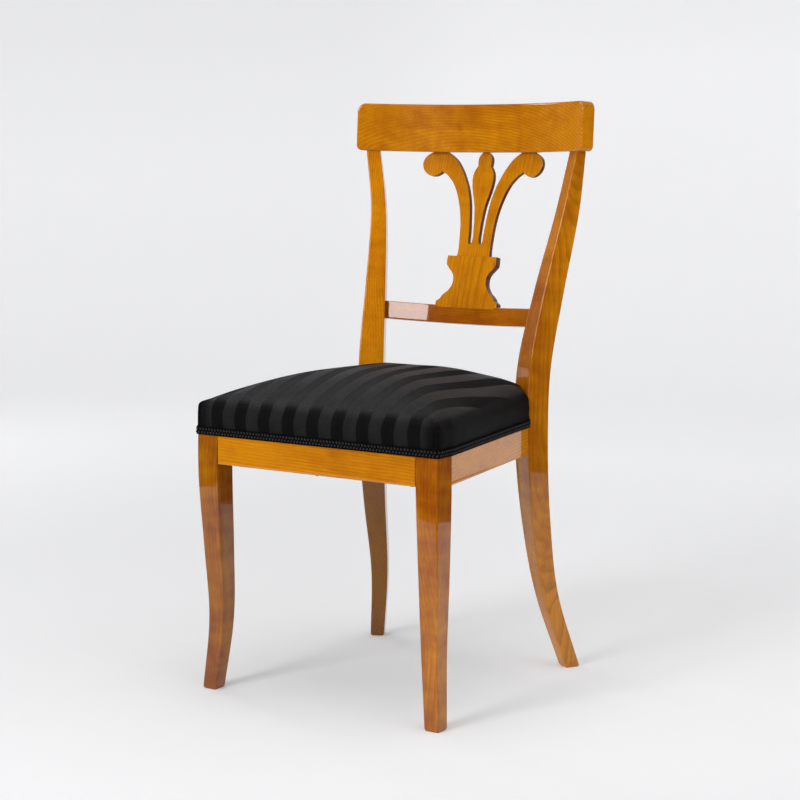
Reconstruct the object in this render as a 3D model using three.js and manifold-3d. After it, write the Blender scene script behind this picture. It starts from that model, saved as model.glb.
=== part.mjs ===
import * as THREE from "three";
import { mergeVertices } from "three/addons/utils/BufferGeometryUtils.js";
import Module from "manifold-3d";

// Dining chair with a palmette back and a stuff-over seat. Millimetres, +Z up, the front is -Y.
// Everything is drawn from the seat's front face at Y = 0 and the floor at Z = 0, then moved so
// that the origin lies on the floor under the middle of the chair.

const wasm = await Module();
wasm.setup();

// Clearances
const jointGap = 0.3;
const cutOverrun = 6;

// Seat frame
const seatFrontWidth = 428.8;
const seatRearWidth = 320.4;
const seatDepth = 339.4;
const railTop = 425;
const railHeight = 75.2;
const railThickness = 22;
const rearRailSetback = 24;
const tenonThickness = 8;
const tenonShoulder = 9;
const sideTenonLength = 17;
const crossTenonLength = 19;

// Front legs: sabre shaped, square in section. The tables give the outer front corner and the
// section at five heights, as shares of the leg's own height and width.
const frontLegWidth = 38;
const footChamfer = 3;
const frontLegStationShares = [0, 0.259, 0.518, 0.776, 1];
const frontLegSideShares = [0, -0.195, -0.095, 0.012, 0];
const frontLegFrontShares = [-0.095, -0.29, -0.15, 0.014, 0];
const frontLegWidthShares = [0.625, 0.72, 0.855, 0.965, 1];
const frontLegDepthShares = [0.615, 0.722, 0.868, 0.975, 0.97];
const frontLegSteps = 14;

// Rear legs: one piece from the floor to the crest rail, turned to stand square to the bent back.
// Four stations lie below the rails' top, at shares of its height, and four above it, at shares of
// the rest. The tables give how far the outer front corner leaves its place at the seat, as shares
// of the splay and rake at the top, and the section as shares of the leg at the seat.
const rearLegHeight = 814.2;
const rearLegWidth = 40.9;
const rearLegDepth = 38.1;
const rearLegTurn = THREE.MathUtils.degToRad(28.4);
const backSplay = 37.2;
const backRake = 78.1;
const lowStationShares = [0, 0.282, 0.565, 0.847];
const highStationShares = [0.141, 0.45, 0.758, 1];
const rearLegSideShares = [0.788, 0.134, 0.011, 0, 0.013, 0.212, 0.554, 1];
const rearLegBackShares = [0.968, 0.554, 0.201, 0, 0.036, 0.421, 0.848, 1];
const rearLegWidthShares = [0.555, 0.663, 0.861, 1, 0.98, 0.79, 0.599, 0.55];
const rearLegDepthShares = [0.656, 0.727, 0.858, 0.958, 1, 0.945, 0.769, 0.433];
const rearLegSteps = 26;

// Crest rail, bent to an arc that the rear legs stand square to
const crestHeight = 76.6;
const crestThickness = 22;
const crestTilt = THREE.MathUtils.degToRad(3.7);
const crestOverhang = 16.5;
const crestProud = 4;
const crestCornerRadius = 13;
const crestFootRadius = 8;
const crestCornerSteps = 5;
const crestSteps = 26;
const stileTenonWidth = 12;
const stileTenonDepth = 9;
const stileTenonHeight = 26;

// Stay rail between the stiles, bent on the same arc and raked with the back
const stayPlaceShare = 0.3024;
const stayHeight = 28.6;
const stayThickness = 16;
const staySetback = 10;
const stayTenonThickness = 7;
const stayTenonShoulder = 5;
const stayTenonLength = 13;
const staySteps = 18;

// Palmette and plinth of the back. Widths are shares of the palmette's half width, heights are
// shares of the clear length between the stay rail and the crest rail.
const splatHalfWidth = 111;
const splatThickness = 9;
const plinthThickness = 14;
const splatBendRadius = 670;
const splatSetback = 1.5;
const splatTopSetback = 12.3;
const plinthHeightShare = 0.322;
const plinthShares = [
  [0.516, 0], [0.517, 0.021], [0.483, 0.033], [0.459, 0.041], [0.444, 0.054], [0.398, 0.076],
  [0.357, 0.09], [0.314, 0.113], [0.288, 0.137], [0.279, 0.163], [0.285, 0.191], [0.317, 0.216],
  [0.355, 0.233], [0.388, 0.25], [0.414, 0.266], [0.413, 0.322],
];
const plinthColumns = 6;
const stemShares = [[0.277, 0.322], [0.268, 0.363], [0.27, 0.415], [0.277, 0.477], [0.288, 0.534]];
const armOuterShares = [
  [0.309, 0.59], [0.333, 0.636], [0.368, 0.686], [0.414, 0.737], [0.479, 0.79], [0.547, 0.825],
  [0.611, 0.85], [0.687, 0.87],
];
const scrollShares = [
  [0.725, 0.855], [0.779, 0.842], [0.838, 0.838], [0.899, 0.843], [0.951, 0.858], [0.989, 0.878],
  [1.011, 0.903], [1.012, 0.927], [0.994, 0.95], [0.957, 0.97], [0.912, 0.984], [0.861, 1],
];
const armInnerShares = [
  [0.641, 0.996], [0.54, 0.973], [0.473, 0.948], [0.413, 0.915], [0.355, 0.877], [0.301, 0.832],
  [0.255, 0.789], [0.218, 0.745], [0.193, 0.707], [0.171, 0.664], [0.155, 0.618], [0.131, 0.522],
  [0.122, 0.47], [0.119, 0.422], [0.11, 0.407], [0.092, 0.401],
];
const budShares = [
  [0.074, 0.405], [0.061, 0.416], [0.054, 0.446], [0.057, 0.494], [0.062, 0.546], [0.074, 0.598],
  [0.086, 0.64], [0.108, 0.682], [0.135, 0.723], [0.158, 0.763], [0.173, 0.803], [0.176, 0.833],
  [0.166, 0.863], [0.139, 0.89], [0.108, 0.911], [0.114, 0.938], [0.112, 0.958], [0.09, 0.98],
  [0.045, 1],
];
const splatFootOverrun = 4;
const plinthTenonWidth = 50;
const plinthTenonThickness = 6;
const plinthTenonDepth = 13;
const dowelRadius = 2.5;
const dowelLength = 20;
const dowelSides = 8;
const stemDowelShare = 0.13;
const scrollDowelShare = 0.84;

// Corner blocks and their screws
const blockReach = 66;
const blockHeight = 40;
const blockDrop = 12;
const screwHeadRadius = 4.2;
const screwRadius = 2;
const screwHeadHeight = 3;
const screwLength = 34;
const screwSides = 8;
const screwPlaceShares = [0.27, 0.73];

// Webbing and hessian
const strapWidth = 50;
const strapThickness = 1.5;
const longStrapCount = 3;
const longStrapSpacing = 68;
const crossStrapCount = 4;
const crossStrapFrontMargin = 4;
const crossStrapRearMargin = 14.4;
const strapEndMargin = 4;
const strapRise = 12;
const hessianThickness = 1.2;
const hessianMargin = 3;

// Upholstery
const coverThickness = 1.5;
const borderRise = 20;
const borderBulge = 0.8;
const seatCrown = 43;
const seatCornerRadius = 4;
const rearCornerInset = 18;
const cornerSteps = 3;
const sideSteps = 6;
const crownRings = 8;
const crownFlatShare = 0.12;
const shoulderRadius = 5;
const shoulderSteps = 3;
const gimpDrop = 32.5;
const gimpHeight = 10.6;
const hemRise = 1.5;
const gimpThickness = 1.8;
const dustCoverThickness = 0.8;
const dustCoverMargin = 6;
const tackMargin = 11;
const tacksAcross = 3;
const tacksAlong = 4;
const tackHeadRadius = 3.6;
const tackHeadHeight = 1.3;
const tackHeadShare = 0.6;
const tackRadius = 0.9;
const tackLength = 9;
const tackSides = 8;

// Finishes
const cherry = { color: 0xb4661e, roughness: 0.28, metalness: 0 };
const palePine = { color: 0xb98f5c, roughness: 0.7, metalness: 0 };
const blackSilk = { color: 0x17171b, roughness: 0.55, metalness: 0 };
const blackBraid = { color: 0x101014, roughness: 0.8, metalness: 0 };
const blackLining = { color: 0x1d1d1f, roughness: 0.95, metalness: 0 };
const jute = { color: 0xa48558, roughness: 0.95, metalness: 0 };
const curledHair = { color: 0x5a4636, roughness: 1, metalness: 0 };
const blueSteel = { color: 0x4c5058, roughness: 0.4, metalness: 0.9 };

const railBottom = railTop - railHeight;
const backHeight = rearLegHeight - railTop;
const stayBottom = railTop + backHeight * stayPlaceShare;
const borderTop = railTop + borderRise;
const gimpBottom = railTop - gimpDrop;
const coverHemHeight = gimpBottom + hemRise;
const seatFrontHalf = seatFrontWidth / 2;
const seatRearHalf = seatRearWidth / 2;
const rearRailFront = seatDepth + rearRailSetback;
const rearRailBack = rearRailFront + railThickness;

// Solids and geometries

function solidFrom(geometry) {
  const bare = geometry.clone();
  bare.deleteAttribute("normal");
  bare.deleteAttribute("uv");
  const merged = mergeVertices(bare);
  return new wasm.Manifold(new wasm.Mesh({
    numProp: 3,
    vertProperties: new Float32Array(merged.attributes.position.array),
    triVerts: new Uint32Array(merged.index.array),
  }));
}

function geometryFrom(solid) {
  const mesh = solid.getMesh();
  const geometry = new THREE.BufferGeometry();
  const points = new Float32Array(mesh.numVert * 3);
  for (let i = 0; i < mesh.numVert; i += 1) {
    for (let axis = 0; axis < 3; axis += 1) {
      points[i * 3 + axis] = mesh.vertProperties[i * mesh.numProp + axis];
    }
  }
  geometry.setAttribute("position", new THREE.BufferAttribute(points, 3));
  geometry.setIndex(new THREE.BufferAttribute(new Uint32Array(mesh.triVerts), 1));
  return geometry;
}

function without(solid, ...tools) {
  return tools.reduce((left, tool) => left.subtract(tool), solid);
}

function joined(...solids) {
  return solids.reduce((sum, next) => sum.add(next));
}

// Turns a geometry inside out, as its mirror image in X
function mirroredGeometry(geometry) {
  const copy = geometry.clone().scale(-1, 1, 1);
  const index = copy.index.array;
  for (let i = 0; i < index.length; i += 3) {
    [index[i], index[i + 1]] = [index[i + 1], index[i]];
  }
  return copy;
}

function mirrored(solid) {
  return solidFrom(mirroredGeometry(geometryFrom(solid)));
}

// Closed skin over rings of equal count. Each ring runs anticlockwise seen from the last ring.
function loft(rings) {
  const count = rings[0].length;
  const points = rings.flat();
  const index = [];
  for (let i = 0; i < rings.length - 1; i += 1) {
    for (let j = 0; j < count; j += 1) {
      const next = (j + 1) % count;
      const low = i * count;
      const high = low + count;
      index.push(low + j, low + next, high + next, low + j, high + next, high + j);
    }
  }
  const last = (rings.length - 1) * count;
  for (let j = 1; j < count - 1; j += 1) {
    index.push(0, j + 1, j, last, last + j, last + j + 1);
  }
  const geometry = new THREE.BufferGeometry().setFromPoints(points);
  geometry.setIndex(index);
  return geometry;
}

// Upright prism over a plan outline given as [x, y] points
function prism(outline, bottom, top) {
  const shape = new THREE.Shape(outline.map(([x, y]) => new THREE.Vector2(x, y)));
  const geometry = new THREE.ExtrudeGeometry(shape, { depth: top - bottom, bevelEnabled: false });
  return solidFrom(geometry.translate(0, 0, bottom));
}

function box(left, right, front, back, bottom, top) {
  return prism([[left, front], [right, front], [right, back], [left, back]], bottom, top);
}

// Value at a place between table entries, on a smooth curve through all of them
function smoothValue(places, values, place) {
  const last = places.length - 1;
  let i = 0;
  while (i < last - 1 && place > places[i + 1]) i += 1;
  const slope = (k) => {
    const a = Math.max(k - 1, 0);
    const b = Math.min(k + 1, last);
    return (values[b] - values[a]) / (places[b] - places[a]);
  };
  const span = places[i + 1] - places[i];
  const t = (place - places[i]) / span;
  const rise = 3 * t * t - 2 * t * t * t;
  const startPull = t * t * t - 2 * t * t + t;
  const endPull = t * t * t - t * t;
  return values[i] * (1 - rise) + values[i + 1] * rise
    + slope(i) * span * startPull + slope(i + 1) * span * endPull;
}

// Legs

function frontLegCorner(height) {
  const share = height / railTop;
  const at = (table) => smoothValue(frontLegStationShares, table, share) * frontLegWidth;
  return {
    x: seatFrontHalf + at(frontLegSideShares),
    y: -at(frontLegFrontShares),
    width: at(frontLegWidthShares),
    depth: at(frontLegDepthShares),
  };
}

function frontLegRing(height, grow, z) {
  const { x, y, width, depth } = frontLegCorner(height);
  return [
    new THREE.Vector3(x - width - grow, y - grow, z),
    new THREE.Vector3(x + grow, y - grow, z),
    new THREE.Vector3(x + grow, y + depth + grow, z),
    new THREE.Vector3(x - width - grow, y + depth + grow, z),
  ];
}

function frontLegBlank(grow = 0) {
  const rings = [frontLegRing(0, grow - footChamfer / 2, 0)];
  for (let i = 0; i <= frontLegSteps; i += 1) {
    const height = footChamfer + (railTop - footChamfer) * i / frontLegSteps;
    rings.push(frontLegRing(height, grow, height));
  }
  if (grow > 0) rings.push(frontLegRing(railTop, grow, railTop + cutOverrun));
  return solidFrom(loft(rings));
}

const rearLegStations = [
  ...lowStationShares.map((share) => share * railTop),
  ...highStationShares.map((share) => railTop + share * backHeight),
];

function rearLegCorner(height) {
  const at = (table) => smoothValue(rearLegStations, table, height);
  return {
    x: seatRearHalf + at(rearLegSideShares) * backSplay,
    y: seatDepth + at(rearLegBackShares) * backRake,
    width: at(rearLegWidthShares) * rearLegWidth,
    depth: at(rearLegDepthShares) * rearLegDepth,
  };
}

// Point of the turned section: inward along its face, then backward through its depth
function turnedPoint(corner, inward, backward, z) {
  const c = Math.cos(rearLegTurn);
  const s = Math.sin(rearLegTurn);
  return new THREE.Vector3(corner.x - inward * c + backward * s, corner.y + inward * s + backward * c, z);
}

function rearLegRing(height, grow, z) {
  const corner = rearLegCorner(height);
  const { width, depth } = corner;
  return [
    turnedPoint(corner, width + grow, -grow, z),
    turnedPoint(corner, -grow, -grow, z),
    turnedPoint(corner, -grow, depth + grow, z),
    turnedPoint(corner, width + grow, depth + grow, z),
  ];
}

function rearLegBlank(grow = 0) {
  const rings = [rearLegRing(0, grow - footChamfer / 2, 0)];
  for (let i = 0; i <= rearLegSteps; i += 1) {
    const height = footChamfer + (rearLegHeight - footChamfer) * i / rearLegSteps;
    rings.push(rearLegRing(height, grow, height));
  }
  if (grow > 0) rings.push(rearLegRing(rearLegHeight, grow, rearLegHeight + cutOverrun));
  return solidFrom(loft(rings));
}

// Tenon on top of the stile, centred in its section
function stileTenon(grow = 0) {
  const corner = rearLegCorner(rearLegHeight);
  const inward = (corner.width - stileTenonWidth) / 2;
  const backward = (corner.depth - stileTenonDepth) / 2;
  const ring = (z) => [
    turnedPoint(corner, inward + stileTenonWidth + grow, backward - grow, z),
    turnedPoint(corner, inward - grow, backward - grow, z),
    turnedPoint(corner, inward - grow, backward + stileTenonDepth + grow, z),
    turnedPoint(corner, inward + stileTenonWidth + grow, backward + stileTenonDepth + grow, z),
  ];
  const rings = [ring(rearLegHeight - tenonShoulder), ring(rearLegHeight + stileTenonHeight + grow)];
  return solidFrom(loft(rings));
}

// Seat rails

// Bar in plan whose outer face runs between two points, with its body on the left of that line
function planBar(start, end, outside, inside) {
  const along = new THREE.Vector2(end[0] - start[0], end[1] - start[1]).normalize();
  const point = (base, inward) => [base[0] - along.y * inward, base[1] + along.x * inward];
  return [point(start, outside), point(end, outside), point(end, inside), point(start, inside)];
}

// Side face: from the outer back edge of the front leg to the outer front edge of the rear leg
const sideStartY = frontLegCorner(railTop).depth;
const sideRun = seatDepth - sideStartY;
const sideAngle = Math.atan2(seatFrontHalf - seatRearHalf, sideRun);
const sideLength = sideRun / Math.cos(sideAngle);

function alongSide(distance) {
  return [seatFrontHalf - distance * Math.sin(sideAngle), sideStartY + distance * Math.cos(sideAngle)];
}

function sideOutsideX(y) {
  return seatFrontHalf - (y - sideStartY) * Math.tan(sideAngle);
}

const tenonBottom = railBottom + tenonShoulder;
const tenonTop = railTop - tenonShoulder;
const tenonOutside = (railThickness - tenonThickness) / 2;

function sideTenon(grow = 0) {
  const startAt = -sideTenonLength - grow;
  const endAt = sideLength + sideTenonLength + grow;
  const outline = planBar(alongSide(startAt), alongSide(endAt), tenonOutside - grow,
    tenonOutside + tenonThickness + grow);
  return prism(outline, tenonBottom - grow, tenonTop + grow);
}

function crossTenon(halfSpan, faceY, grow = 0) {
  const front = faceY + tenonOutside - grow;
  const back = faceY + tenonOutside + tenonThickness + grow;
  return box(-halfSpan - grow, halfSpan + grow, front, back, tenonBottom - grow, tenonTop + grow);
}

const frontTenonHalf = seatFrontHalf - frontLegWidth + crossTenonLength;
const rearLegAtSeat = rearLegCorner((railBottom + railTop) / 2);
const rearLegInside = seatRearHalf - rearLegAtSeat.width * Math.cos(rearLegTurn);
const rearTenonHalf = rearLegInside + crossTenonLength;

// Bent rails

const stileTop = rearLegCorner(rearLegHeight);
const crestEnd = turnedPoint(stileTop, -crestOverhang, -crestProud, rearLegHeight);
const bendRadius = crestEnd.x / Math.sin(rearLegTurn);
const crestRise = bendRadius * (1 - Math.cos(rearLegTurn));
const crestMiddle = {
  y: crestEnd.y + crestRise * Math.cos(crestTilt),
  z: rearLegHeight - crestRise * Math.sin(crestTilt),
};

const stayHeightMiddle = stayBottom + stayHeight / 2;
const stileAtStay = rearLegCorner(stayHeightMiddle);
const stayEnd = turnedPoint(stileAtStay, stileAtStay.width, staySetback, stayHeightMiddle);
const stayEndAngle = Math.asin(stayEnd.x / bendRadius);
const stayRise = bendRadius * (1 - Math.cos(stayEndAngle));
const stayMiddleY = stayEnd.y + stayRise;
const backLean = Math.atan2(crestMiddle.y - stayMiddleY, crestMiddle.z - stayHeightMiddle);
const stayMiddle = { y: stayMiddleY, z: stayBottom - stayRise * Math.sin(backLean) };

// Places local points of a bent rail: its front face's middle at the foot, its axis leaning back
function leaned(point, middle, angle) {
  const y = point.y * Math.cos(angle) + point.z * Math.sin(angle);
  const z = point.z * Math.cos(angle) - point.y * Math.sin(angle);
  return new THREE.Vector3(point.x, middle.y + y, middle.z + z);
}

function bentRing(angle, front, back, bottom, top, middle, lean) {
  const corner = (inward, height) => {
    const radius = bendRadius + inward;
    const y = radius * Math.cos(angle) - bendRadius;
    return leaned(new THREE.Vector3(radius * Math.sin(angle), y, height), middle, lean);
  };
  return [corner(front, bottom), corner(back, bottom), corner(back, top), corner(front, top)];
}

// Height that a rounded corner takes off the crest rail at a distance from its end
function cornerDrop(distance, radius) {
  const inside = Math.max(radius - distance, 0);
  return radius - Math.sqrt(radius ** 2 - inside ** 2);
}

function crestBlank(grow = 0) {
  const distances = [];
  for (let i = 0; i < crestCornerSteps; i += 1) {
    distances.push(crestCornerRadius * (1 - Math.cos(Math.PI / 2 * i / crestCornerSteps)));
  }
  const length = 2 * bendRadius * rearLegTurn;
  const flat = length - 2 * crestCornerRadius;
  for (let i = 0; i <= crestSteps; i += 1) distances.push(crestCornerRadius + flat * i / crestSteps);
  for (let i = crestCornerSteps - 1; i >= 0; i -= 1) distances.push(length - distances[i]);
  const rings = distances.map((distance) => {
    const fromEnd = Math.min(distance, length - distance);
    const angle = (distance - length / 2) / bendRadius * (1 + 2 * grow / length);
    const bottom = cornerDrop(fromEnd, crestFootRadius) - grow;
    const top = crestHeight - cornerDrop(fromEnd, crestCornerRadius) + grow;
    return bentRing(angle, -grow, crestThickness + grow, bottom, top, crestMiddle, crestTilt);
  });
  return solidFrom(loft(rings));
}

function bentBar(halfAngle, steps, front, back, bottom, top, middle, lean) {
  const rings = [];
  for (let i = 0; i <= steps; i += 1) {
    const angle = halfAngle * (2 * i / steps - 1);
    rings.push(bentRing(angle, front, back, bottom, top, middle, lean));
  }
  return solidFrom(loft(rings));
}

function stayBlank(grow = 0) {
  const reach = stayEndAngle + rearLegWidth / 2 / bendRadius;
  return bentBar(reach, staySteps, -grow, stayThickness + grow, -grow, stayHeight + grow,
    stayMiddle, backLean);
}

function stayTenon(grow = 0) {
  const reach = stayEndAngle + (stayTenonLength + grow) / bendRadius;
  const front = (stayThickness - stayTenonThickness) / 2;
  return bentBar(reach, staySteps, front - grow, front + stayTenonThickness + grow,
    stayTenonShoulder - grow, stayHeight - stayTenonShoulder + grow, stayMiddle, backLean);
}

// Splat

const stayTopMiddle = leaned(new THREE.Vector3(0, 0, stayHeight), stayMiddle, backLean);
const splatFoot = { y: stayTopMiddle.y + splatSetback, z: stayTopMiddle.z };
const splatTop = { y: crestMiddle.y + splatTopSetback, z: crestMiddle.z };
const splatRake = Math.atan2(splatTop.y - splatFoot.y, splatTop.z - splatFoot.z);
const splatLength = (splatTop.z - splatFoot.z) / Math.cos(splatRake);

// Point of the splat: across, up its face, and back from its middle sheet, which bends across
function splatPoint(x, up, back) {
  const bow = splatBendRadius - Math.sqrt(splatBendRadius ** 2 - x * x);
  const local = new THREE.Vector3(x, splatThickness / 2 + back - bow, up);
  return leaned(local, splatFoot, splatRake);
}

function palmetteSolid() {
  const right = [...stemShares, ...armOuterShares, ...scrollShares];
  const top = [...armInnerShares, ...budShares];
  const half = [...right, ...top].map(([across, up]) => (
    new THREE.Vector2(across * splatHalfWidth, up * splatLength)
  ));
  const outline = [...half];
  for (const point of [...half].reverse()) outline.push(new THREE.Vector2(-point.x, point.y));
  const depth = splatThickness;
  const geometry = new THREE.ExtrudeGeometry(new THREE.Shape(outline), { depth, bevelEnabled: false });
  const points = geometry.attributes.position;
  for (let i = 0; i < points.count; i += 1) {
    const back = splatThickness / 2 - points.getZ(i);
    const placed = splatPoint(points.getX(i), points.getY(i), back);
    points.setXYZ(i, placed.x, placed.y, placed.z);
  }
  return solidFrom(geometry);
}

function plinthSolid() {
  const rings = plinthShares.map(([across, up]) => {
    const half = across * splatHalfWidth;
    const height = up === 0 ? -splatFootOverrun : up * splatLength - jointGap;
    const place = (i) => half * (2 * i / plinthColumns - 1);
    const ring = [];
    for (let i = 0; i <= plinthColumns; i += 1) {
      ring.push(splatPoint(place(i), height, -plinthThickness / 2));
    }
    for (let i = plinthColumns; i >= 0; i -= 1) {
      ring.push(splatPoint(place(i), height, plinthThickness / 2));
    }
    return ring;
  });
  return solidFrom(loft(rings));
}

// Upright bar in the splat's own leaning frame
function splatBar(halfWidth, thickness, bottom, top) {
  const ring = (up) => [
    splatPoint(-halfWidth, up, -thickness / 2),
    splatPoint(halfWidth, up, -thickness / 2),
    splatPoint(halfWidth, up, thickness / 2),
    splatPoint(-halfWidth, up, thickness / 2),
  ];
  return solidFrom(loft([ring(bottom), ring(top)]));
}

function plinthTenon(grow = 0) {
  return splatBar(plinthTenonWidth / 2 + grow, plinthTenonThickness + grow * 2,
    -plinthTenonDepth - grow, plinthTenonDepth);
}

function dowel(x, up, grow = 0) {
  const length = dowelLength + grow * 2;
  const geometry = new THREE.CylinderGeometry(dowelRadius + grow, dowelRadius + grow, length, dowelSides);
  geometry.rotateX(Math.PI / 2 - splatRake);
  const middle = splatPoint(x, up, 0);
  return solidFrom(geometry.translate(middle.x, middle.y, middle.z));
}

// Dowels of the bud and both scrolls into the crest rail, then two between stem and plinth
function splatDowels(grow = 0) {
  const scrollX = scrollDowelShare * splatHalfWidth;
  const stemX = stemDowelShare * splatHalfWidth;
  const stemUp = plinthHeightShare * splatLength;
  const places = [
    [-scrollX, splatLength], [0, splatLength], [scrollX, splatLength], [-stemX, stemUp], [stemX, stemUp],
  ];
  return places.map(([x, up]) => dowel(x, up, grow));
}

// Corner blocks and screws, drawn for the right-hand side

const sideInset = railThickness / Math.cos(sideAngle);

function sideInsideX(y) {
  return sideOutsideX(y) - sideInset;
}

// Three plan corners of a block: in the corner, along the cross rail, along the side rail
function blockCorners(faceY, towardBack) {
  const y = faceY + towardBack * jointGap;
  const clear = jointGap / Math.cos(sideAngle);
  const sideY = y + towardBack * blockReach;
  return [
    [sideInsideX(y) - clear, y],
    [sideInsideX(y) - clear - blockReach, y],
    [sideInsideX(sideY) - clear, sideY],
  ];
}

const blockBottom = railBottom + blockDrop;
const frontBlockCorners = blockCorners(railThickness, 1);
const rearBlockCorners = blockCorners(rearRailFront, -1);

function blockBlank(corners) {
  return prism(corners, blockBottom, blockBottom + blockHeight);
}

function profileSolid(profile, sides) {
  return new THREE.LatheGeometry(profile.map(([r, y]) => new THREE.Vector2(r, y)), sides);
}

// Screw along -Y from its head at the origin
function screwGeometry(grow) {
  return profileSolid([
    [0, -screwLength - grow],
    [screwRadius + grow, -screwLength + screwRadius],
    [screwRadius + grow, -screwHeadHeight],
    [screwHeadRadius + grow, 0],
    [0, grow > 0 ? cutOverrun : 0],
  ].filter(([r], i) => i !== 3 || r > 0), screwSides);
}

// Two screws of one block, driven square to its long face
function blockScrews(corners, grow = 0) {
  const [, across, along] = corners;
  const face = new THREE.Vector2(along[0] - across[0], along[1] - across[1]);
  const outward = new THREE.Vector2(across[0] - corners[0][0], along[1] - corners[0][1]).normalize();
  const square = new THREE.Vector2(-face.y, face.x).normalize();
  if (square.dot(outward) < 0) square.negate();
  return screwPlaceShares.map((share) => {
    const geometry = screwGeometry(grow);
    const up = new THREE.Vector3(square.x, square.y, 0);
    const turn = new THREE.Quaternion().setFromUnitVectors(new THREE.Vector3(0, 1, 0), up);
    geometry.applyQuaternion(turn);
    const x = across[0] + face.x * share;
    const y = across[1] + face.y * share;
    return solidFrom(geometry.translate(x, y, blockBottom + blockHeight / 2));
  });
}

// Tacks

function tackGeometry(grow) {
  return profileSolid([
    [0, -tackLength - grow],
    [tackRadius + grow, -tackLength + tackRadius],
    [tackRadius + grow, 0],
    [tackHeadRadius + grow, 0],
    [tackHeadRadius * tackHeadShare + grow, tackHeadHeight],
    [0, tackHeadHeight + grow],
  ], tackSides);
}

// Tacks driven upward, their heads' undersides at one height
function tacksAt(places, z, grow = 0) {
  return places.map(([x, y]) => solidFrom(tackGeometry(grow).rotateX(-Math.PI / 2).translate(x, y, z)));
}

// Webbing

const longStrapBottom = railTop + jointGap;
const longStrapTop = longStrapBottom + strapThickness;
const crossStrapBottom = longStrapTop + jointGap;
const hessianBottom = crossStrapBottom + strapThickness + jointGap;
const hessianTop = hessianBottom + hessianThickness;

function longStrapX(i) {
  return (i - (longStrapCount - 1) / 2) * longStrapSpacing;
}

function longStrap(i) {
  const x = longStrapX(i);
  return box(x - strapWidth / 2, x + strapWidth / 2, strapEndMargin, rearRailBack - strapEndMargin,
    longStrapBottom, longStrapTop);
}

function crossStrapY(i) {
  const first = sideStartY + crossStrapFrontMargin + strapWidth / 2;
  const last = seatDepth - crossStrapRearMargin - strapWidth / 2;
  return first + (last - first) * i / (crossStrapCount - 1);
}

// Cross strap: it lies on the side rails at its ends and over the long straps between them
function crossStrap(i) {
  const y = crossStrapY(i);
  const half = sideOutsideX(y + strapWidth / 2) - strapEndMargin;
  const low = longStrapBottom;
  const high = crossStrapBottom;
  const inside = half - railThickness;
  const under = [[-half, low], [-inside, low], [-inside + strapRise, high], [inside - strapRise, high],
    [inside, low], [half, low]];
  const over = [...under].reverse().map(([x, z]) => [x, z + strapThickness]);
  const shape = new THREE.Shape([...under, ...over].map(([x, z]) => new THREE.Vector2(x, z)));
  const geometry = new THREE.ExtrudeGeometry(shape, { depth: strapWidth, bevelEnabled: false });
  geometry.rotateX(Math.PI / 2);
  return solidFrom(geometry.translate(0, y + strapWidth / 2, 0));
}

// Seat outline in plan, grown outward by a margin, with rounded front corners

function seatCorners(margin) {
  const back = rearRailBack + margin;
  return [
    [-seatFrontHalf - margin, -margin],
    [seatFrontHalf + margin, -margin],
    [seatRearHalf - rearCornerInset, back],
    [-seatRearHalf + rearCornerInset, back],
  ];
}

// Places where the side of the outline turns: behind the front leg and at the rear leg's corner
function seatKinks(margin) {
  const shift = margin / Math.cos(sideAngle);
  return [[seatFrontHalf + margin, sideStartY], [seatRearHalf + shift, seatDepth]];
}

function roundedCorner(corner, before, after, radius) {
  const c = new THREE.Vector2(...corner);
  const toBefore = new THREE.Vector2(...before).sub(c).normalize();
  const toAfter = new THREE.Vector2(...after).sub(c).normalize();
  const half = toBefore.angleTo(toAfter) / 2;
  const start = c.clone().addScaledVector(toBefore, radius / Math.tan(half));
  const end = c.clone().addScaledVector(toAfter, radius / Math.tan(half));
  const curve = new THREE.QuadraticBezierCurve(start, c, end);
  return curve.getPoints(cornerSteps).map((point) => [point.x, point.y]);
}

function seatOutline(margin, radius = seatCornerRadius) {
  const [frontLeft, frontRight, rearRight, rearLeft] = seatCorners(margin);
  const [legKink, rearKink] = seatKinks(margin);
  const [legKinkLeft, rearKinkLeft] = seatKinks(margin).map(([x, y]) => [-x, y]);
  const left = roundedCorner(frontLeft, legKinkLeft, frontRight, radius);
  const right = roundedCorner(frontRight, frontLeft, legKink, radius);
  const stops = [
    [left.at(-1), sideSteps], [right[0], 0], ...right.slice(1, -1).map((point) => [point, 0]),
    [right.at(-1), 0], [legKink, sideSteps], [rearKink, 0], [rearRight, sideSteps], [rearLeft, 0],
    [rearKinkLeft, sideSteps], [legKinkLeft, 0], ...left.slice(0, -1).map((point) => [point, 0]),
  ];
  const outline = [];
  stops.forEach(([from, steps], stop) => {
    const [to] = stops[(stop + 1) % stops.length];
    outline.push(from);
    for (let i = 1; i < steps; i += 1) {
      const t = i / steps;
      outline.push([from[0] + (to[0] - from[0]) * t, from[1] + (to[1] - from[1]) * t]);
    }
  });
  return outline;
}

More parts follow.
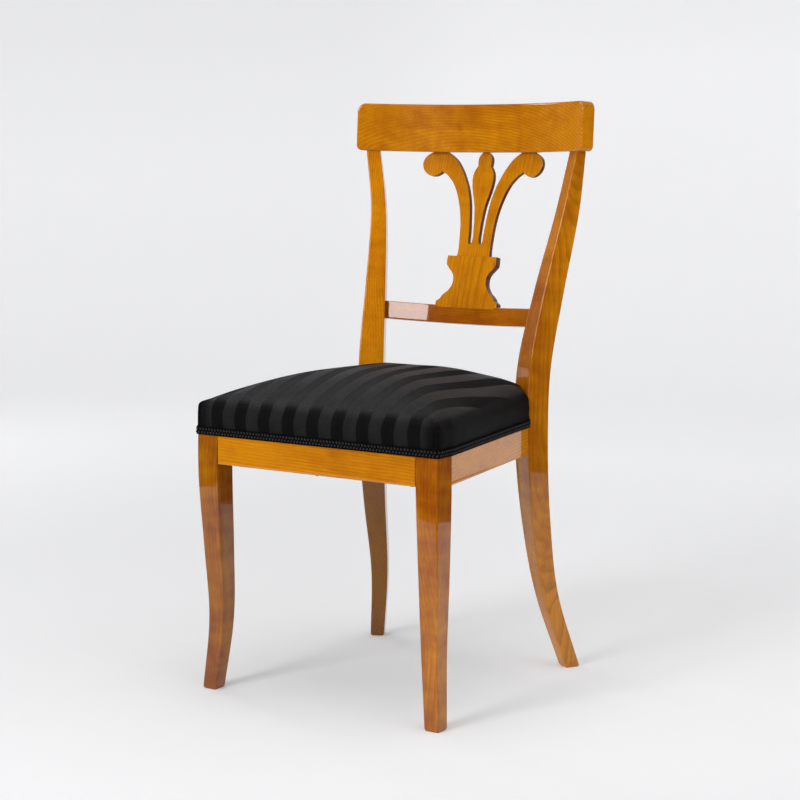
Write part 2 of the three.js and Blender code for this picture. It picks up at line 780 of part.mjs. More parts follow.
// Crowned seat form: straight border, rolled shoulder, dome. inset shrinks it on every side.
function seatForm(inset, bottom) {
  const margin = jointGap + coverThickness - inset;
  const outline = seatOutline(margin);
  const bulged = seatOutline(margin + borderBulge);
  const middle = [0, rearRailBack / 2];
  const ring = (source, share, z) => source.map(([x, y]) => new THREE.Vector3(
    middle[0] + (x - middle[0]) * (1 - share),
    middle[1] + (y - middle[1]) * (1 - share),
    z,
  ));
  const rings = [ring(outline, 0, bottom), ring(bulged, 0, (railTop + borderTop) / 2)];
  const rollShare = shoulderRadius / (rearRailBack / 2);
  for (let i = 0; i <= shoulderSteps; i += 1) {
    const turn = Math.PI / 2 * i / shoulderSteps;
    const share = rollShare * (1 - Math.cos(turn));
    rings.push(ring(outline, share, borderTop - inset + shoulderRadius * (Math.sin(turn) - 1)));
  }
  for (let i = 1; i <= crownRings; i += 1) {
    const t = i / crownRings;
    const share = rollShare + (1 - crownFlatShare - rollShare) * t;
    const rise = seatCrown * (1 - (1 - t) ** 2) ** 0.9;
    rings.push(ring(outline, share, borderTop - inset + rise));
  }
  return solidFrom(loft(rings));
}

// Sheet under or over the rails, notched round the legs
function seatSheet(margin, bottom, top, cutters) {
  return without(prism(seatOutline(-margin), bottom, top), ...cutters);
}

function gimpRing(legCutters) {
  const inside = jointGap + coverThickness + borderBulge + jointGap;
  const outer = prism(seatOutline(inside + gimpThickness), gimpBottom, gimpBottom + gimpHeight);
  const inner = prism(seatOutline(inside), gimpBottom - cutOverrun, gimpBottom + gimpHeight + cutOverrun);
  return without(outer, inner, ...legCutters);
}

// Tacks of the dust cover: a row under each cross rail and under each side rail
function dustTackPlaces() {
  const places = [];
  const halfFront = seatFrontHalf - frontLegWidth - tackMargin;
  const halfRear = rearLegInside - tackMargin;
  for (let i = 0; i < tacksAcross; i += 1) {
    const share = 2 * i / (tacksAcross - 1) - 1;
    places.push([halfFront * share, tackMargin], [halfRear * share, rearRailBack - tackMargin]);
  }
  const start = frontLegWidth + tackMargin;
  const run = seatDepth - tackMargin - start;
  for (let i = 0; i < tacksAlong; i += 1) {
    const y = start + run * i / (tacksAlong - 1);
    const x = sideOutsideX(y) - tackMargin;
    places.push([-x, y], [x, y]);
  }
  return places;
}

// Assembly

const frontLegCutter = frontLegBlank(jointGap);
const rearLegCutter = rearLegBlank(jointGap);
const frontLegCutters = [frontLegCutter, mirrored(frontLegCutter)];
const rearLegCutters = [rearLegCutter, mirrored(rearLegCutter)];
const legCutters = [...frontLegCutters, ...rearLegCutters];

const dustTop = railBottom - jointGap;
const dustBottom = dustTop - dustCoverThickness;
const dustTackSeat = dustBottom - jointGap;
const dustTackHoles = tacksAt(dustTackPlaces(), dustTackSeat, jointGap);
const blockSets = [frontBlockCorners, rearBlockCorners];
const rightScrewHoles = joined(...blockSets.flatMap((corners) => blockScrews(corners, jointGap)));
const railHoles = [...dustTackHoles, rightScrewHoles, mirrored(rightScrewHoles)];
const dowelHoles = splatDowels(jointGap);

const frontTenonTool = crossTenon(frontTenonHalf, 0, jointGap);
const rearTenonTool = crossTenon(rearTenonHalf, rearRailFront, jointGap);

const frontLeg = without(frontLegBlank(), sideTenon(jointGap), frontTenonTool);
const rearLeg = joined(
  without(rearLegBlank(), sideTenon(jointGap), rearTenonTool, stayTenon(jointGap), crestBlank(jointGap)),
  stileTenon(),
);

const sideRailBody = prism(
  planBar(alongSide(0), alongSide(sideLength + railThickness), 0, railThickness),
  railBottom,
  railTop,
);
const sideRail = without(
  joined(without(sideRailBody, frontLegCutter, rearLegCutter), sideTenon()),
  ...railHoles,
);
const frontRail = without(
  joined(
    without(box(-seatFrontHalf, seatFrontHalf, 0, railThickness, railBottom, railTop), ...frontLegCutters),
    crossTenon(frontTenonHalf, 0),
  ),
  ...railHoles,
);
const rearRail = without(
  joined(
    without(box(-rearTenonHalf, rearTenonHalf, rearRailFront, rearRailBack, railBottom, railTop),
      ...rearLegCutters),
    crossTenon(rearTenonHalf, rearRailFront),
  ),
  ...railHoles,
);

const crestHoles = [stileTenon(jointGap), mirrored(stileTenon(jointGap)), ...dowelHoles];
const crestRail = without(crestBlank(), ...crestHoles);
const stayRail = without(
  joined(without(stayBlank(), ...rearLegCutters), stayTenon()),
  plinthTenon(jointGap),
);
const palmette = without(palmetteSolid(), crestBlank(jointGap), ...dowelHoles);
const plinth = joined(
  without(plinthSolid(), stayBlank(jointGap), ...dowelHoles),
  plinthTenon(),
);

const frontBlock = without(blockBlank(frontBlockCorners), frontLegCutter, rightScrewHoles);
const rearBlock = without(blockBlank(rearBlockCorners), rearLegCutter, rightScrewHoles);
const rightScrews = blockSets.flatMap((corners) => blockScrews(corners));

const coverHollow = seatForm(coverThickness, coverHemHeight - cutOverrun);
const seatCover = without(seatForm(0, coverHemHeight), coverHollow, ...legCutters);
const stuffing = without(seatForm(coverThickness + jointGap, hessianTop + jointGap), ...rearLegCutters);
const hessian = seatSheet(hessianMargin, hessianBottom, hessianTop, rearLegCutters);
const dustCover = seatSheet(dustCoverMargin, dustBottom, dustTop, [...legCutters, ...dustTackHoles]);
const gimp = gimpRing(rearLegCutters);
const farOut = seatFrontWidth;
const behindKink = box(-farOut, farOut, rearRailFront, rearRailBack + rearLegDepth, 0, rearLegHeight);

const chair = new THREE.Group();

function addPiece(name, source, finish) {
  const geometry = source.isBufferGeometry ? source : geometryFrom(source);
  geometry.computeVertexNormals();
  const mesh = new THREE.Mesh(geometry, new THREE.MeshStandardMaterial(finish));
  mesh.name = name;
  chair.add(mesh);
}

function addPair(name, solid, finish) {
  const geometry = geometryFrom(solid);
  addPiece(`${name}_right`, geometry, finish);
  addPiece(`${name}_left`, mirroredGeometry(geometry), finish);
}

addPair("front_leg", frontLeg, cherry);
addPair("rear_leg", rearLeg, cherry);
addPair("side_rail", sideRail, cherry);
addPiece("front_rail", frontRail, cherry);
addPiece("rear_rail", rearRail, cherry);
addPiece("crest_rail", crestRail, cherry);
addPiece("stay_rail", stayRail, cherry);
addPiece("splat_palmette", palmette, cherry);
addPiece("splat_plinth", plinth, cherry);
splatDowels().forEach((solid, i) => addPiece(`splat_dowel_${i + 1}`, solid, palePine));
addPair("front_corner_block", frontBlock, palePine);
addPair("rear_corner_block", rearBlock, palePine);
rightScrews.forEach((solid, i) => addPair(`block_screw_${i + 1}`, solid, blueSteel));
for (let i = 0; i < longStrapCount; i += 1) {
  addPiece(`webbing_long_${i + 1}`, longStrap(i), jute);
}
for (let i = 0; i < crossStrapCount; i += 1) {
  addPiece(`webbing_cross_${i + 1}`, crossStrap(i), jute);
}
addPiece("hessian", hessian, jute);
addPiece("seat_stuffing", stuffing, curledHair);
addPiece("seat_cover", seatCover, blackSilk);
addPiece("gimp_front", without(gimp, behindKink), blackBraid);
addPiece("gimp_rear", gimp.intersect(behindKink), blackBraid);
addPiece("dust_cover", dustCover, blackLining);
const dustTacks = tacksAt(dustTackPlaces(), dustTackSeat);
dustTacks.forEach((solid, i) => addPiece(`dust_tack_${i + 1}`, solid, blueSteel));

// Origin on the floor under the middle of the chair
const bounds = new THREE.Box3().setFromObject(chair);
chair.position.set(0, -(bounds.min.y + bounds.max.y) / 2, -bounds.min.z);
chair.updateMatrixWorld(true);

export default chair;
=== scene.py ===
import bmesh
import bpy
import math
import numpy as np
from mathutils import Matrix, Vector
from mathutils.geometry import delaunay_2d_cdt


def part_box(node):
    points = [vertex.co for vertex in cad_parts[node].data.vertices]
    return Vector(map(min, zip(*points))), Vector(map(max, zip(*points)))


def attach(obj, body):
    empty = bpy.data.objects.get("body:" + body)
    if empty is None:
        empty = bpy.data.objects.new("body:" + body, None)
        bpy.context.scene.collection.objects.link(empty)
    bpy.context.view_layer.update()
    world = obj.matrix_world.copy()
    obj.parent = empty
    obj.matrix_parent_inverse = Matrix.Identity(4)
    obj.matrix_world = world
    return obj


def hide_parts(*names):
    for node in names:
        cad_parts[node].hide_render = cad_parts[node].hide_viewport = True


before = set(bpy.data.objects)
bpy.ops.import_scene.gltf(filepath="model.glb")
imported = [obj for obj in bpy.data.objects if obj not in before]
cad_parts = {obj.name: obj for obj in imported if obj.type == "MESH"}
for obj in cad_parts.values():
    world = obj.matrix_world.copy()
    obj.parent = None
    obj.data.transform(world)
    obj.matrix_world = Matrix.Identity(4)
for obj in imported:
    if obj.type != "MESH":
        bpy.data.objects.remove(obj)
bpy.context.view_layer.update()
print("frame loaded,", len(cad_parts), "nodes")

# Measures are in millimetres, from the seat's front face and the floor. A mesh is moved by rowShift
# and turned into metres when it is made.
rowShift = np.array([0.0, -240.6806, 0.0])

camera = {
    "place": (1.7110, -2.5435, 0.8298), "turn": (90 - 7.364, 0, 34.103), "lens": 90.39,
    "sensor": 36, "far": 60,
}


def linked(name, data):  # an object of this data, in the scene
    thing = bpy.data.objects.new(name, data)
    bpy.context.scene.collection.objects.link(thing)
    return thing


cameraData = bpy.data.cameras.new("studioCamera")
cameraData.lens = camera["lens"]
cameraData.sensor_width = camera["sensor"]
cameraData.clip_end = camera["far"]
cameraObject = linked("studioCamera", cameraData)
cameraObject.location = camera["place"]
cameraObject.rotation_euler = [math.radians(turn) for turn in camera["turn"]]
bpy.context.scene.camera = cameraObject
print("camera placed")


# Shader wiring: a Wire is one socket's value, and maths on wires adds nodes

class Wire:
    def __init__(self, sheet, socket):
        self.sheet, self.socket = sheet, socket

    def maths(self, operation, *others):
        return self.sheet.maths(operation, self, *others)

    def __rsub__(self, other):
        return self.sheet.maths("SUBTRACT", other, self)

    def ramp(self, start, end, low=0.0, high=1.0):  # eased step from low to high
        return self.sheet.wire("ShaderNodeMapRange", {"interpolation_type": "SMOOTHSTEP"},
                               {0: self, 1: start, 2: end, 3: low, 4: high})

    def wave(self, pitch):  # sine that repeats at each pitch
        return (self * (2 * math.pi / pitch)).maths("SINE")


mathsOf = {
    "__add__": "ADD", "__radd__": "ADD", "__sub__": "SUBTRACT", "__mul__": "MULTIPLY",
    "__rmul__": "MULTIPLY", "__truediv__": "DIVIDE", "fraction": "FRACT", "size": "ABSOLUTE",
    "root": "SQRT",
}
for method, operation in mathsOf.items():
    setattr(Wire, method, lambda self, *others, operation=operation: self.maths(operation, *others))


class Sheet:
    # One material's node tree
    def __init__(self, name):
        self.material = bpy.data.materials.new(name)
        self.material.use_nodes = True
        self.tree = self.material.node_tree
        self.tree.nodes.clear()

    def add(self, kind, settings, values):
        # A node of a kind: its settings first, then numbers, colours or wires for its sockets
        node = self.tree.nodes.new(kind)
        for key, value in settings.items():
            setattr(node, key, value)
        for key, value in values.items():
            socket = node.inputs[key]
            if isinstance(value, Wire):
                self.tree.links.new(value.socket, socket)
            elif socket.type == "RGBA" and len(value) == 3:
                socket.default_value = (*value, 1)
            else:
                socket.default_value = value
        return node

    def wire(self, kind, settings, values, output=0):
        return Wire(self, self.add(kind, settings, values).outputs[output])

    def maths(self, operation, *values):  # one Math node over numbers and wires
        return self.wire("ShaderNodeMath", {"operation": operation}, dict(enumerate(values)))

    def place(self, move=(0, 0, 0), turn=(0, 0, 0)):
        # Object coordinates in metres, moved, then turned in degrees
        coordinates = self.wire("ShaderNodeTexCoord", {}, {}, "Object")
        moved = self.wire("ShaderNodeVectorMath", {"operation": "SUBTRACT"}, {0: coordinates, 1: move})
        return self.wire("ShaderNodeMapping", {"vector_type": "POINT"}, {
            "Vector": moved, "Rotation": [math.radians(a) for a in turn]})

    def cloth(self):
        # The cloth's own coordinates in metres, across and then along
        return self.wire("ShaderNodeUVMap", {"uv_map": "cloth"}, {})

    def parts(self, vector):  # its three numbers, a wire each
        node = self.add("ShaderNodeSeparateXYZ", {}, {0: vector})
        return [Wire(self, socket) for socket in node.outputs]

    def noise(self, vector, density, detail=2.0, roughness=0.5):
        # Noise with so many cells to a metre along each axis
        dense = self.wire("ShaderNodeVectorMath", {"operation": "MULTIPLY"}, {0: vector, 1: density})
        return self.wire("ShaderNodeTexNoise", {"noise_dimensions": "3D"}, {
            "Vector": dense, "Scale": 1.0, "Detail": detail, "Roughness": roughness})

    def mix(self, factor, first, second, blend="MIX"):  # from the first colour to the second
        return self.wire("ShaderNodeMix", {"data_type": "RGBA", "blend_type": blend},
                         {0: factor, 6: first, 7: second}, 2)

    def shaded(self, colour, value):  # the colour times a grey of this value
        grey = self.wire("ShaderNodeCombineColor", {}, {0: value, 1: value, 2: value})
        return self.mix(1.0, colour, grey, "MULTIPLY")

    def finish(self, values, bump=None, bumpHeight=0.001, bumpStrength=1.0):
        # Bump, shader and output close the material
        if bump is not None:
            values = {**values, "Normal": self.wire("ShaderNodeBump", {}, {
                "Height": bump, "Distance": bumpHeight, "Strength": bumpStrength})}
        shader = self.wire("ShaderNodeBsdfPrincipled", {}, values)
        self.add("ShaderNodeOutputMaterial", {}, {"Surface": shader})
        return self.material


# French-polished cherry: growth rings round a pith line, read in the board's own place

cherry = {
    "light": (0.62, 0.220, 0.0017), "deep": (0.32, 0.074, 0.0006), "late": (0.19, 0.042, 0.0004),
    "ringPitch": 0.0034, "lateStrength": 0.42, "poreStrength": 0.28, "roughness": 0.22,
    # the last pair of heights is where the painted shade below the seat fades out
    "jointHeight": (0.0366, 0.0371), "underSeatShadeHeight": (0.33, 0.43),
}


def cherryWood(name, pith, turn, tone=0.0, ringPitch=cherry["ringPitch"], warp=1.0, figure=1.0,
               seed=0.0, polish=1.0, shade=1.0, lines=1.0, joint=0.0, underSeatShade=1.0):
    # Rings: distance from the pith line (the board's z after the turn), bent by slow noise, over the
    # ring pitch; its fraction darkens towards the end of each ring. Fibres and pores are noise drawn
    # out along the grain. Tone is slow noise between the light and the deep colour.
    sheet = Sheet(name)
    grain = sheet.place(pith, turn)
    x, y, _ = sheet.parts(grain)
    x = x + (sheet.noise(grain, (7, 7, 2.2), 3.0) - 0.5) * (0.03 * warp)
    y = y + (sheet.noise(grain, (5, 5, 3.1)) - 0.5) * (0.024 * warp)
    uneven = (sheet.noise(grain, (60, 60, 6)) - 0.5) * 0.7
    share = ((x * x + y * y).root() / ringPitch + uneven).fraction()
    spread = sheet.noise(grain, (16, 16, 4), 1.0).ramp(0.25, 0.75, 0.25, 1.0)
    late = share.ramp(0.35, 0.93) * share.ramp(0.94, 1.0, 1.0, 0.0) * spread
    fibres = sheet.noise(grain, (900, 900, 22), 2.0, 0.6)
    pores = sheet.noise(grain, (2600, 2600, 160), 1.0).ramp(0.60, 0.72)
    slow = sheet.noise(sheet.place((seed, seed * 0.7, 0), turn), (9, 9, 2.4), 3.0)
    ripple = (sheet.noise(grain, (14, 14, 46)) - 0.5) * (0.75 * figure)
    mottle = (sheet.noise(grain, (70, 70, 30), 3.0) - 0.5) * 0.8
    toneShare = slow.ramp(0.28 - tone * 0.4, 0.78 - tone * 0.4) + ripple + mottle
    if joint:  # two boards glued edge to edge: the upper one is darker over the crest rail's middle
        u, v, w = sheet.parts(sheet.place())
        fromMiddle = v - (crestMiddle[0] + rowShift[1]) * 0.001
        up = (w - crestMiddle[1] * 0.001) + fromMiddle * math.sin(crestTilt)
        board = up.ramp(*cherry["jointHeight"]) * u.ramp(-0.17, -0.13) * u.ramp(0.02, 0.09, 1.0, 0.0)
        toneShare = toneShare + board * joint
    toneShare = toneShare.maths("MAXIMUM", 0.0).maths("MINIMUM", 1.0)
    colour = sheet.mix(toneShare, cherry["light"], cherry["deep"])
    colour = sheet.mix(late * (cherry["lateStrength"] * lines), colour, cherry["late"])
    value = fibres.ramp(0.2, 0.8, 0.84 * shade, 1.1 * shade) * (1 - pores * cherry["poreStrength"])
    if underSeatShade != 1:  # painted shade below the seat: darker towards the floor, where the seat shades the legs
        value = value * sheet.parts(sheet.place())[2].ramp(*cherry["underSeatShadeHeight"], underSeatShade, 1.0)
    return sheet.finish({
        "Base Color": sheet.shaded(colour, value),
        "Roughness": cherry["roughness"] + fibres * 0.1 + pores * 0.12,
        "IOR": 1.5, "Specular IOR Level": 0.03,
        "Coat Weight": polish, "Coat Roughness": 0.035, "Coat IOR": 1.5,
    }, fibres * 0.5 - pores * 0.8 - late * 0.2, 0.000012, 0.5)


# Mesh makers

def linkPiece(name, mesh, materials, slot, *nodes):
    # A piece on the chair's one body, in place of the named CAD nodes
    for material in materials:
        mesh.materials.append(material)
    piece = linked(name, mesh)
    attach(piece, "root")
    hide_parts(*nodes)
    return piece


def meshFrom(name, points, faces, sharp=34):
    # A closed mesh in metres, turned right side out by the sign of its volume
    mesh = bpy.data.meshes.new(name)
    mesh.from_pydata(((points + rowShift) * 0.001).tolist(), [], faces)
    body = bmesh.new()
    body.from_mesh(mesh)
    if body.calc_volume(signed=True) < 0:
        bmesh.ops.reverse_faces(body, faces=body.faces)
        body.to_mesh(mesh)
    body.free()
    mesh.polygons.foreach_set("use_smooth", np.ones(len(mesh.polygons), bool))
    mesh.set_sharp_from_angle(angle=math.radians(sharp))
    return mesh


def pointsOf(mesh):  # one row of x, y and z for each point
    flat = np.empty(len(mesh.vertices) * 3)
    mesh.vertices.foreach_get("co", flat)
    return flat.reshape(-1, 3)


def setCloth(mesh, across, along):
    # Stores the cloth's own coordinates, in metres, in the map that the cloth's materials read
    layer = mesh.uv_layers.new(name="cloth")
    corners = np.empty(len(mesh.loops), np.int32)
    mesh.loops.foreach_get("vertex_index", corners)
    uv = np.stack([across[corners], along[corners]], -1)
    layer.data.foreach_set("uv", uv.astype(np.float32).ravel())


def secondMaterial(mesh, first):
    # The faces from the given one on get the second material
    index = np.zeros(len(mesh.polygons), np.int32)
    index[first:] = 1
    mesh.polygons.foreach_set("material_index", index)


def gridNumbers(rows, columns, first=0):  # point numbers, row after row
    return np.arange(first, first + rows * columns).reshape(rows, columns)


def raised(plan, height):
    # Points in plan with their height as one more coordinate
    return np.concatenate([plan, np.broadcast_to(height, plan.shape[:-1])[..., None]], -1)


def unit(vectors):  # each vector over its length
    return vectors / np.linalg.norm(vectors, axis=1)[:, None]


def rightOf(way):  # unit vectors in plan, square to a way and on its right: (y, -x)
    return unit(np.stack([way[:, 1], -way[:, 0]], -1))


def quarterTurn(steps):  # even angles from 0 to 90 degrees
    return np.linspace(0, math.pi / 2, steps + 1)


def fullTurn(steps):  # even angles once round, the last left out
    return np.linspace(0, 2 * math.pi, steps + 1)[:-1]


def portion(value, start, length):
    # How far a value is past the start, as a share of the length, from 0 to 1
    return np.clip((value - start) / length, 0, 1)


def wallFaces(loops):
    # Quads between each row of point numbers and the next, closed round the row
    low, high = loops[:-1], loops[1:]
    quads = np.stack([low, np.roll(low, -1, 1), np.roll(high, -1, 1), high], -1)
    return quads.reshape(-1, 4).tolist()


def sheetFaces(grid):
    # Quads of an open grid of point numbers
    quads = np.stack([grid[:-1, :-1], grid[1:, :-1], grid[1:, 1:], grid[:-1, 1:]], -1)
    return quads.reshape(-1, 4).tolist()


def barFaces(loops):  # walls from ring to ring, and a cap on each end
    return wallFaces(loops) + [loops[0][::-1].tolist(), loops[-1].tolist()]


def barMesh(name, rings, sharp=34):
    # Profile carried along a path: rings of equal count, with a flat cap on each end
    return meshFrom(name, rings.reshape(-1, 3), barFaces(gridNumbers(*rings.shape[:2])), sharp)


def layeredMesh(name, faces, points, rim, edgeAt, layers, put, sharp):
    # Two faces joined by a rim. layers are insets and depths from the front to the back, edgeAt the
    # rim's line at an inset, and put the place in space of (across, up, depth)
    lines = [points[0], *[edgeAt(inset) for inset, depth in layers[1:-1]], points[1]]
    places = [put(line[:, 0], line[:, 1], depth) for line, (inset, depth) in zip(lines, layers)]
    walls = gridNumbers(len(layers) - 2, len(rim), len(points[0]))
    used = len(points[0]) + walls.size
    back = [[k + used for k in face] for face in faces[1]]
    loops = np.concatenate([[rim], walls, [rim + used]])
    return meshFrom(name, np.concatenate(places), faces[0] + back + wallFaces(loops), sharp)


def slabMesh(name, face, layers, put, sharp=34):
    # A slab: face(inset) gives a grid of (across, up)
    def rim(grid):  # the grid's edge, once round
        return np.concatenate([grid[:, 0], grid[-1, 1:], grid[-2::-1, -1], grid[0, -2:0:-1]])

    front, back = face(layers[0][0]), face(layers[-1][0])
    grid = gridNumbers(*front.shape[:2])
    return layeredMesh(name, (sheetFaces(grid), sheetFaces(grid.T)),
                       (front.reshape(-1, 2), back.reshape(-1, 2)), rim(grid),
                       lambda inset: rim(face(inset)), layers, put, sharp)


def roundedLayers(thickness, front, back, steps=4):
    # Insets and depths of a slab's rim: a quarter circle at the front arris, one at the back
    turns = [(1 - math.cos(turn), 1 - math.sin(turn)) for turn in quarterTurn(steps)]
    return [(front * s, front * c) for c, s in turns] + [(back * c, thickness - back * s) for c, s in turns]


flatShares = (0.07, 0.5, 0.93)  # where a flat between two arrises has its points


def roundedSection(width, depth, radius, steps=4):
    # Rectangles from 0 to width and 0 to depth with quarter-circle arrises, one row for each station:
    # each corner's arc, then three points on the flat that follows it
    sizes = (np.atleast_1d(np.asarray(a, float))[:, None] for a in (width, depth, radius))
    width, depth, radius = np.broadcast_arrays(*sizes)
    corners = [(radius, radius), (width - radius, radius), (width - radius, depth - radius),
               (radius, depth - radius)]
    arcs = []
    for k, (x, y) in enumerate(corners):
        arc = quarterTurn(steps) + math.pi * (1 + k / 2)
        arcs.append(np.stack([x + radius * np.cos(arc), y + radius * np.sin(arc)], -1))
    parts = []
    for arc, following in zip(arcs, arcs[1:] + arcs[:1]):
        start, end = arc[:, -1:], following[:, :1]
        parts += [arc, *[start + (end - start) * share for share in flatShares]]
    return np.concatenate(parts, 1)


def smoothValue(places, values, at):
    # Cubic through the entries of a table, with the slope at each entry that of its neighbours
    places, values, at = (np.asarray(a, float) for a in (places, values, at))
    slopes = np.gradient(values)
    slopes[1:-1] = (values[2:] - values[:-2]) / (places[2:] - places[:-2])
    slopes[0] = (values[1] - values[0]) / (places[1] - places[0])
    slopes[-1] = (values[-1] - values[-2]) / (places[-1] - places[-2])
    i = np.clip(np.searchsorted(places, at, side="right") - 1, 0, len(places) - 2)
    span = places[i + 1] - places[i]
    t = (at - places[i]) / span
    rise = 3 * t ** 2 - 2 * t ** 3
    return (values[i] * (1 - rise) + values[i + 1] * rise
            + slopes[i] * span * (t ** 3 - 2 * t ** 2 + t) + slopes[i + 1] * span * (t ** 3 - t ** 2))


def chordOf(points):  # distance along the line up to each point
    return np.concatenate([[0], np.cumsum(np.linalg.norm(np.diff(points, axis=0), axis=1))])


def smoothLine(points, spacing):
    # Points at even spacing on a smooth curve through the given ones
    points = np.asarray(points, float)
    chord = chordOf(points)
    at = np.linspace(0, chord[-1], max(2, int(round(chord[-1] / spacing))) + 1)
    return np.stack([smoothValue(chord, points[:, k], at) for k in range(2)], -1)


# Seat frame

seat = {
    "frontHalf": 214.4, "rearHalf": 160.2, "depth": 339.4, "railTop": 425.0, "railHeight": 75.2,
    "railThickness": 22.0, "rearFace": 363.4, "arris": 0.9,
}
railBack = seat["rearFace"] + seat["railThickness"]

# Legs: the outer front corner and the section along the height, by tables. The rear legs are one piece
# from the floor into the crest rail, turned to stand square to the bent back.

frontLeg = {
    "height": seat["railTop"], "width": 38.0, "chamfer": 3.0, "arris": 1.1, "rows": 72, "above": 0.0,
    "stations": [0, 0.259, 0.518, 0.776, 1],
    "side": [0, -0.195, -0.095, 0.012, 0],
    "front": [-0.095, -0.29, -0.15, 0.014, 0],
    "widths": [0.625, 0.72, 0.855, 0.965, 1],
    "depths": [0.615, 0.722, 0.868, 0.975, 0.97],
}
rearLeg = {
    "height": 814.2, "width": 40.9, "depth": 38.1, "turn": 28.4, "splay": 37.2, "rake": 78.1,
    "chamfer": 3.0, "arris": 1.9, "rows": 130, "above": 3.0,
    "low": [0, 0.282, 0.565, 0.847], "high": [0.141, 0.45, 0.758, 1],
    "side": [0.788, 0.134, 0.011, 0, 0.013, 0.212, 0.554, 1],
    "back": [0.968, 0.554, 0.201, 0, 0.036, 0.421, 0.848, 1],
    "widths": [0.555, 0.663, 0.861, 1, 0.98, 0.79, 0.599, 0.55],
    "depths": [0.656, 0.727, 0.858, 0.958, 1, 0.945, 0.769, 0.433],
}
legTurn = math.radians(rearLeg["turn"])
stileHeight = rearLeg["height"] - seat["railTop"]
rearLegStations = [share * seat["railTop"] for share in rearLeg["low"]]
rearLegStations += [seat["railTop"] + share * stileHeight for share in rearLeg["high"]]


def frontLegAt(height):
    # Outer front corner, width and depth at a height: table shares times the leg's width
    side, front, width, depth = (
        smoothValue(frontLeg["stations"], frontLeg[table], height / seat["railTop"]) * frontLeg["width"]
        for table in ("side", "front", "widths", "depths"))
    return seat["frontHalf"] + side, -front, width, depth


def rearLegAt(height):
    # The same for a rear leg: table shares times its splay, rake, width and depth
    side, back, width, depth = (
        smoothValue(rearLegStations, rearLeg[table], height) * rearLeg[scale]
        for table, scale in (("side", "splay"), ("back", "rake"), ("widths", "width"), ("depths", "depth")))
    return seat["rearHalf"] + side, seat["depth"] + back, width, depth


def oneAt(legAt, height):  # a leg's four values at a single height
    return [float(value[0]) for value in legAt(np.array([height]))]


def turned(x, y, inward, backward, turn=legTurn):
    # Place in plan of a point of the turned section
    return (x - inward * math.cos(turn) + backward * math.sin(turn),
            y + inward * math.sin(turn) + backward * math.cos(turn))


def legPiece(name, node, side, leg, legAt, turn, material):
    # Rounded rectangle, turned in plan, carried up the leg from its outer front corner
    height = np.concatenate([[0.0], np.linspace(leg["chamfer"], leg["height"], leg["rows"])])
    shrink = np.where(height == 0, leg["chamfer"] / 2, 0)
    x, y, width, depth = legAt(height)
    section = roundedSection(width - 2 * shrink, depth - 2 * shrink, leg["arris"]) + shrink[:, None, None]
    across, back = turned(x[:, None], y[:, None], section[..., 0], section[..., 1], turn)
    z = height + np.where(height == leg["height"], leg["above"], 0)
    rings = raised(np.stack([side * across, back], -1), z[:, None])
    linkPiece(name, barMesh(name, rings), [material], "cherry", node)


legPiece("sabreLegRight", "front_leg_right", 1, frontLeg, frontLegAt, 0, cherryWood(
    "cherryFrontLegRight", (0.26, -0.33, 0.2), (3, -2, 20), 0.4, figure=1.5, seed=1.3, shade=0.93))
legPiece("sabreLegLeft", "front_leg_left", -1, frontLeg, frontLegAt, 0, cherryWood(
    "cherryFrontLegLeft", (-0.15, -0.30, 0.2), (-3, 2, 0), 0.4, figure=1.5, seed=4.1, shade=0.7))
print("front legs made")
# the stiles' lower parts get painted shade below the seat, the left one much more
legPiece("stileLegRight", "rear_leg_right", 1, rearLeg, rearLegAt, legTurn, cherryWood(
    "cherryStileRight", (0.30, 0.10, 0.4), (7, 1, 28), -0.1, seed=2.2, underSeatShade=0.9))
legPiece("stileLegLeft", "rear_leg_left", -1, rearLeg, rearLegAt, legTurn, cherryWood(
    "cherryStileLeft", (-0.12, 0.20, 0.4), (6, -2, -28), -0.35, seed=6.4, shade=1.15, underSeatShade=0.36))
print("rear legs made")

# Seat rails. The side rails run further at their inner face, where they die into the legs.

rails = {
    "rows": 24, "frontLap": 0.4, "rearHalf": 140.0, "sideLap": 0.2, "sideSpare": 0.6,
    "sideEnds": (-3.4, 17.4),
}
sideStart = oneAt(frontLegAt, seat["railTop"])[3]
sideAngle = math.atan2(seat["frontHalf"] - seat["rearHalf"], seat["depth"] - sideStart)
sideLength = (seat["depth"] - sideStart) / math.cos(sideAngle)
railSection = roundedSection(seat["railThickness"], seat["railHeight"], seat["arris"])


def sideOutsideX(y):  # half the seat's width at a distance back, which tapers from the front
    return seat["frontHalf"] - (y - sideStart) * math.tan(sideAngle)


def railPiece(name, node, start, length, along, inside, ends, material):
    # Rounded upright rectangle carried along a straight rail, longer at its inner face by the ends
    rows = np.linspace(0, 1, rails["rows"])[:, None]
    inward, up = railSection[..., 0], railSection[..., 1]
    first = -ends[0] * inward / seat["railThickness"]
    last = length + ends[1] * inward / seat["railThickness"]
    distance = first + (last - first) * rows
    plan = np.stack([start[k] + along[k] * distance + inside[k] * inward for k in range(2)], -1)
    rings = raised(plan, seat["railTop"] - seat["railHeight"] + up)
    linkPiece(name, barMesh(name, rings), [material], "cherry", node)


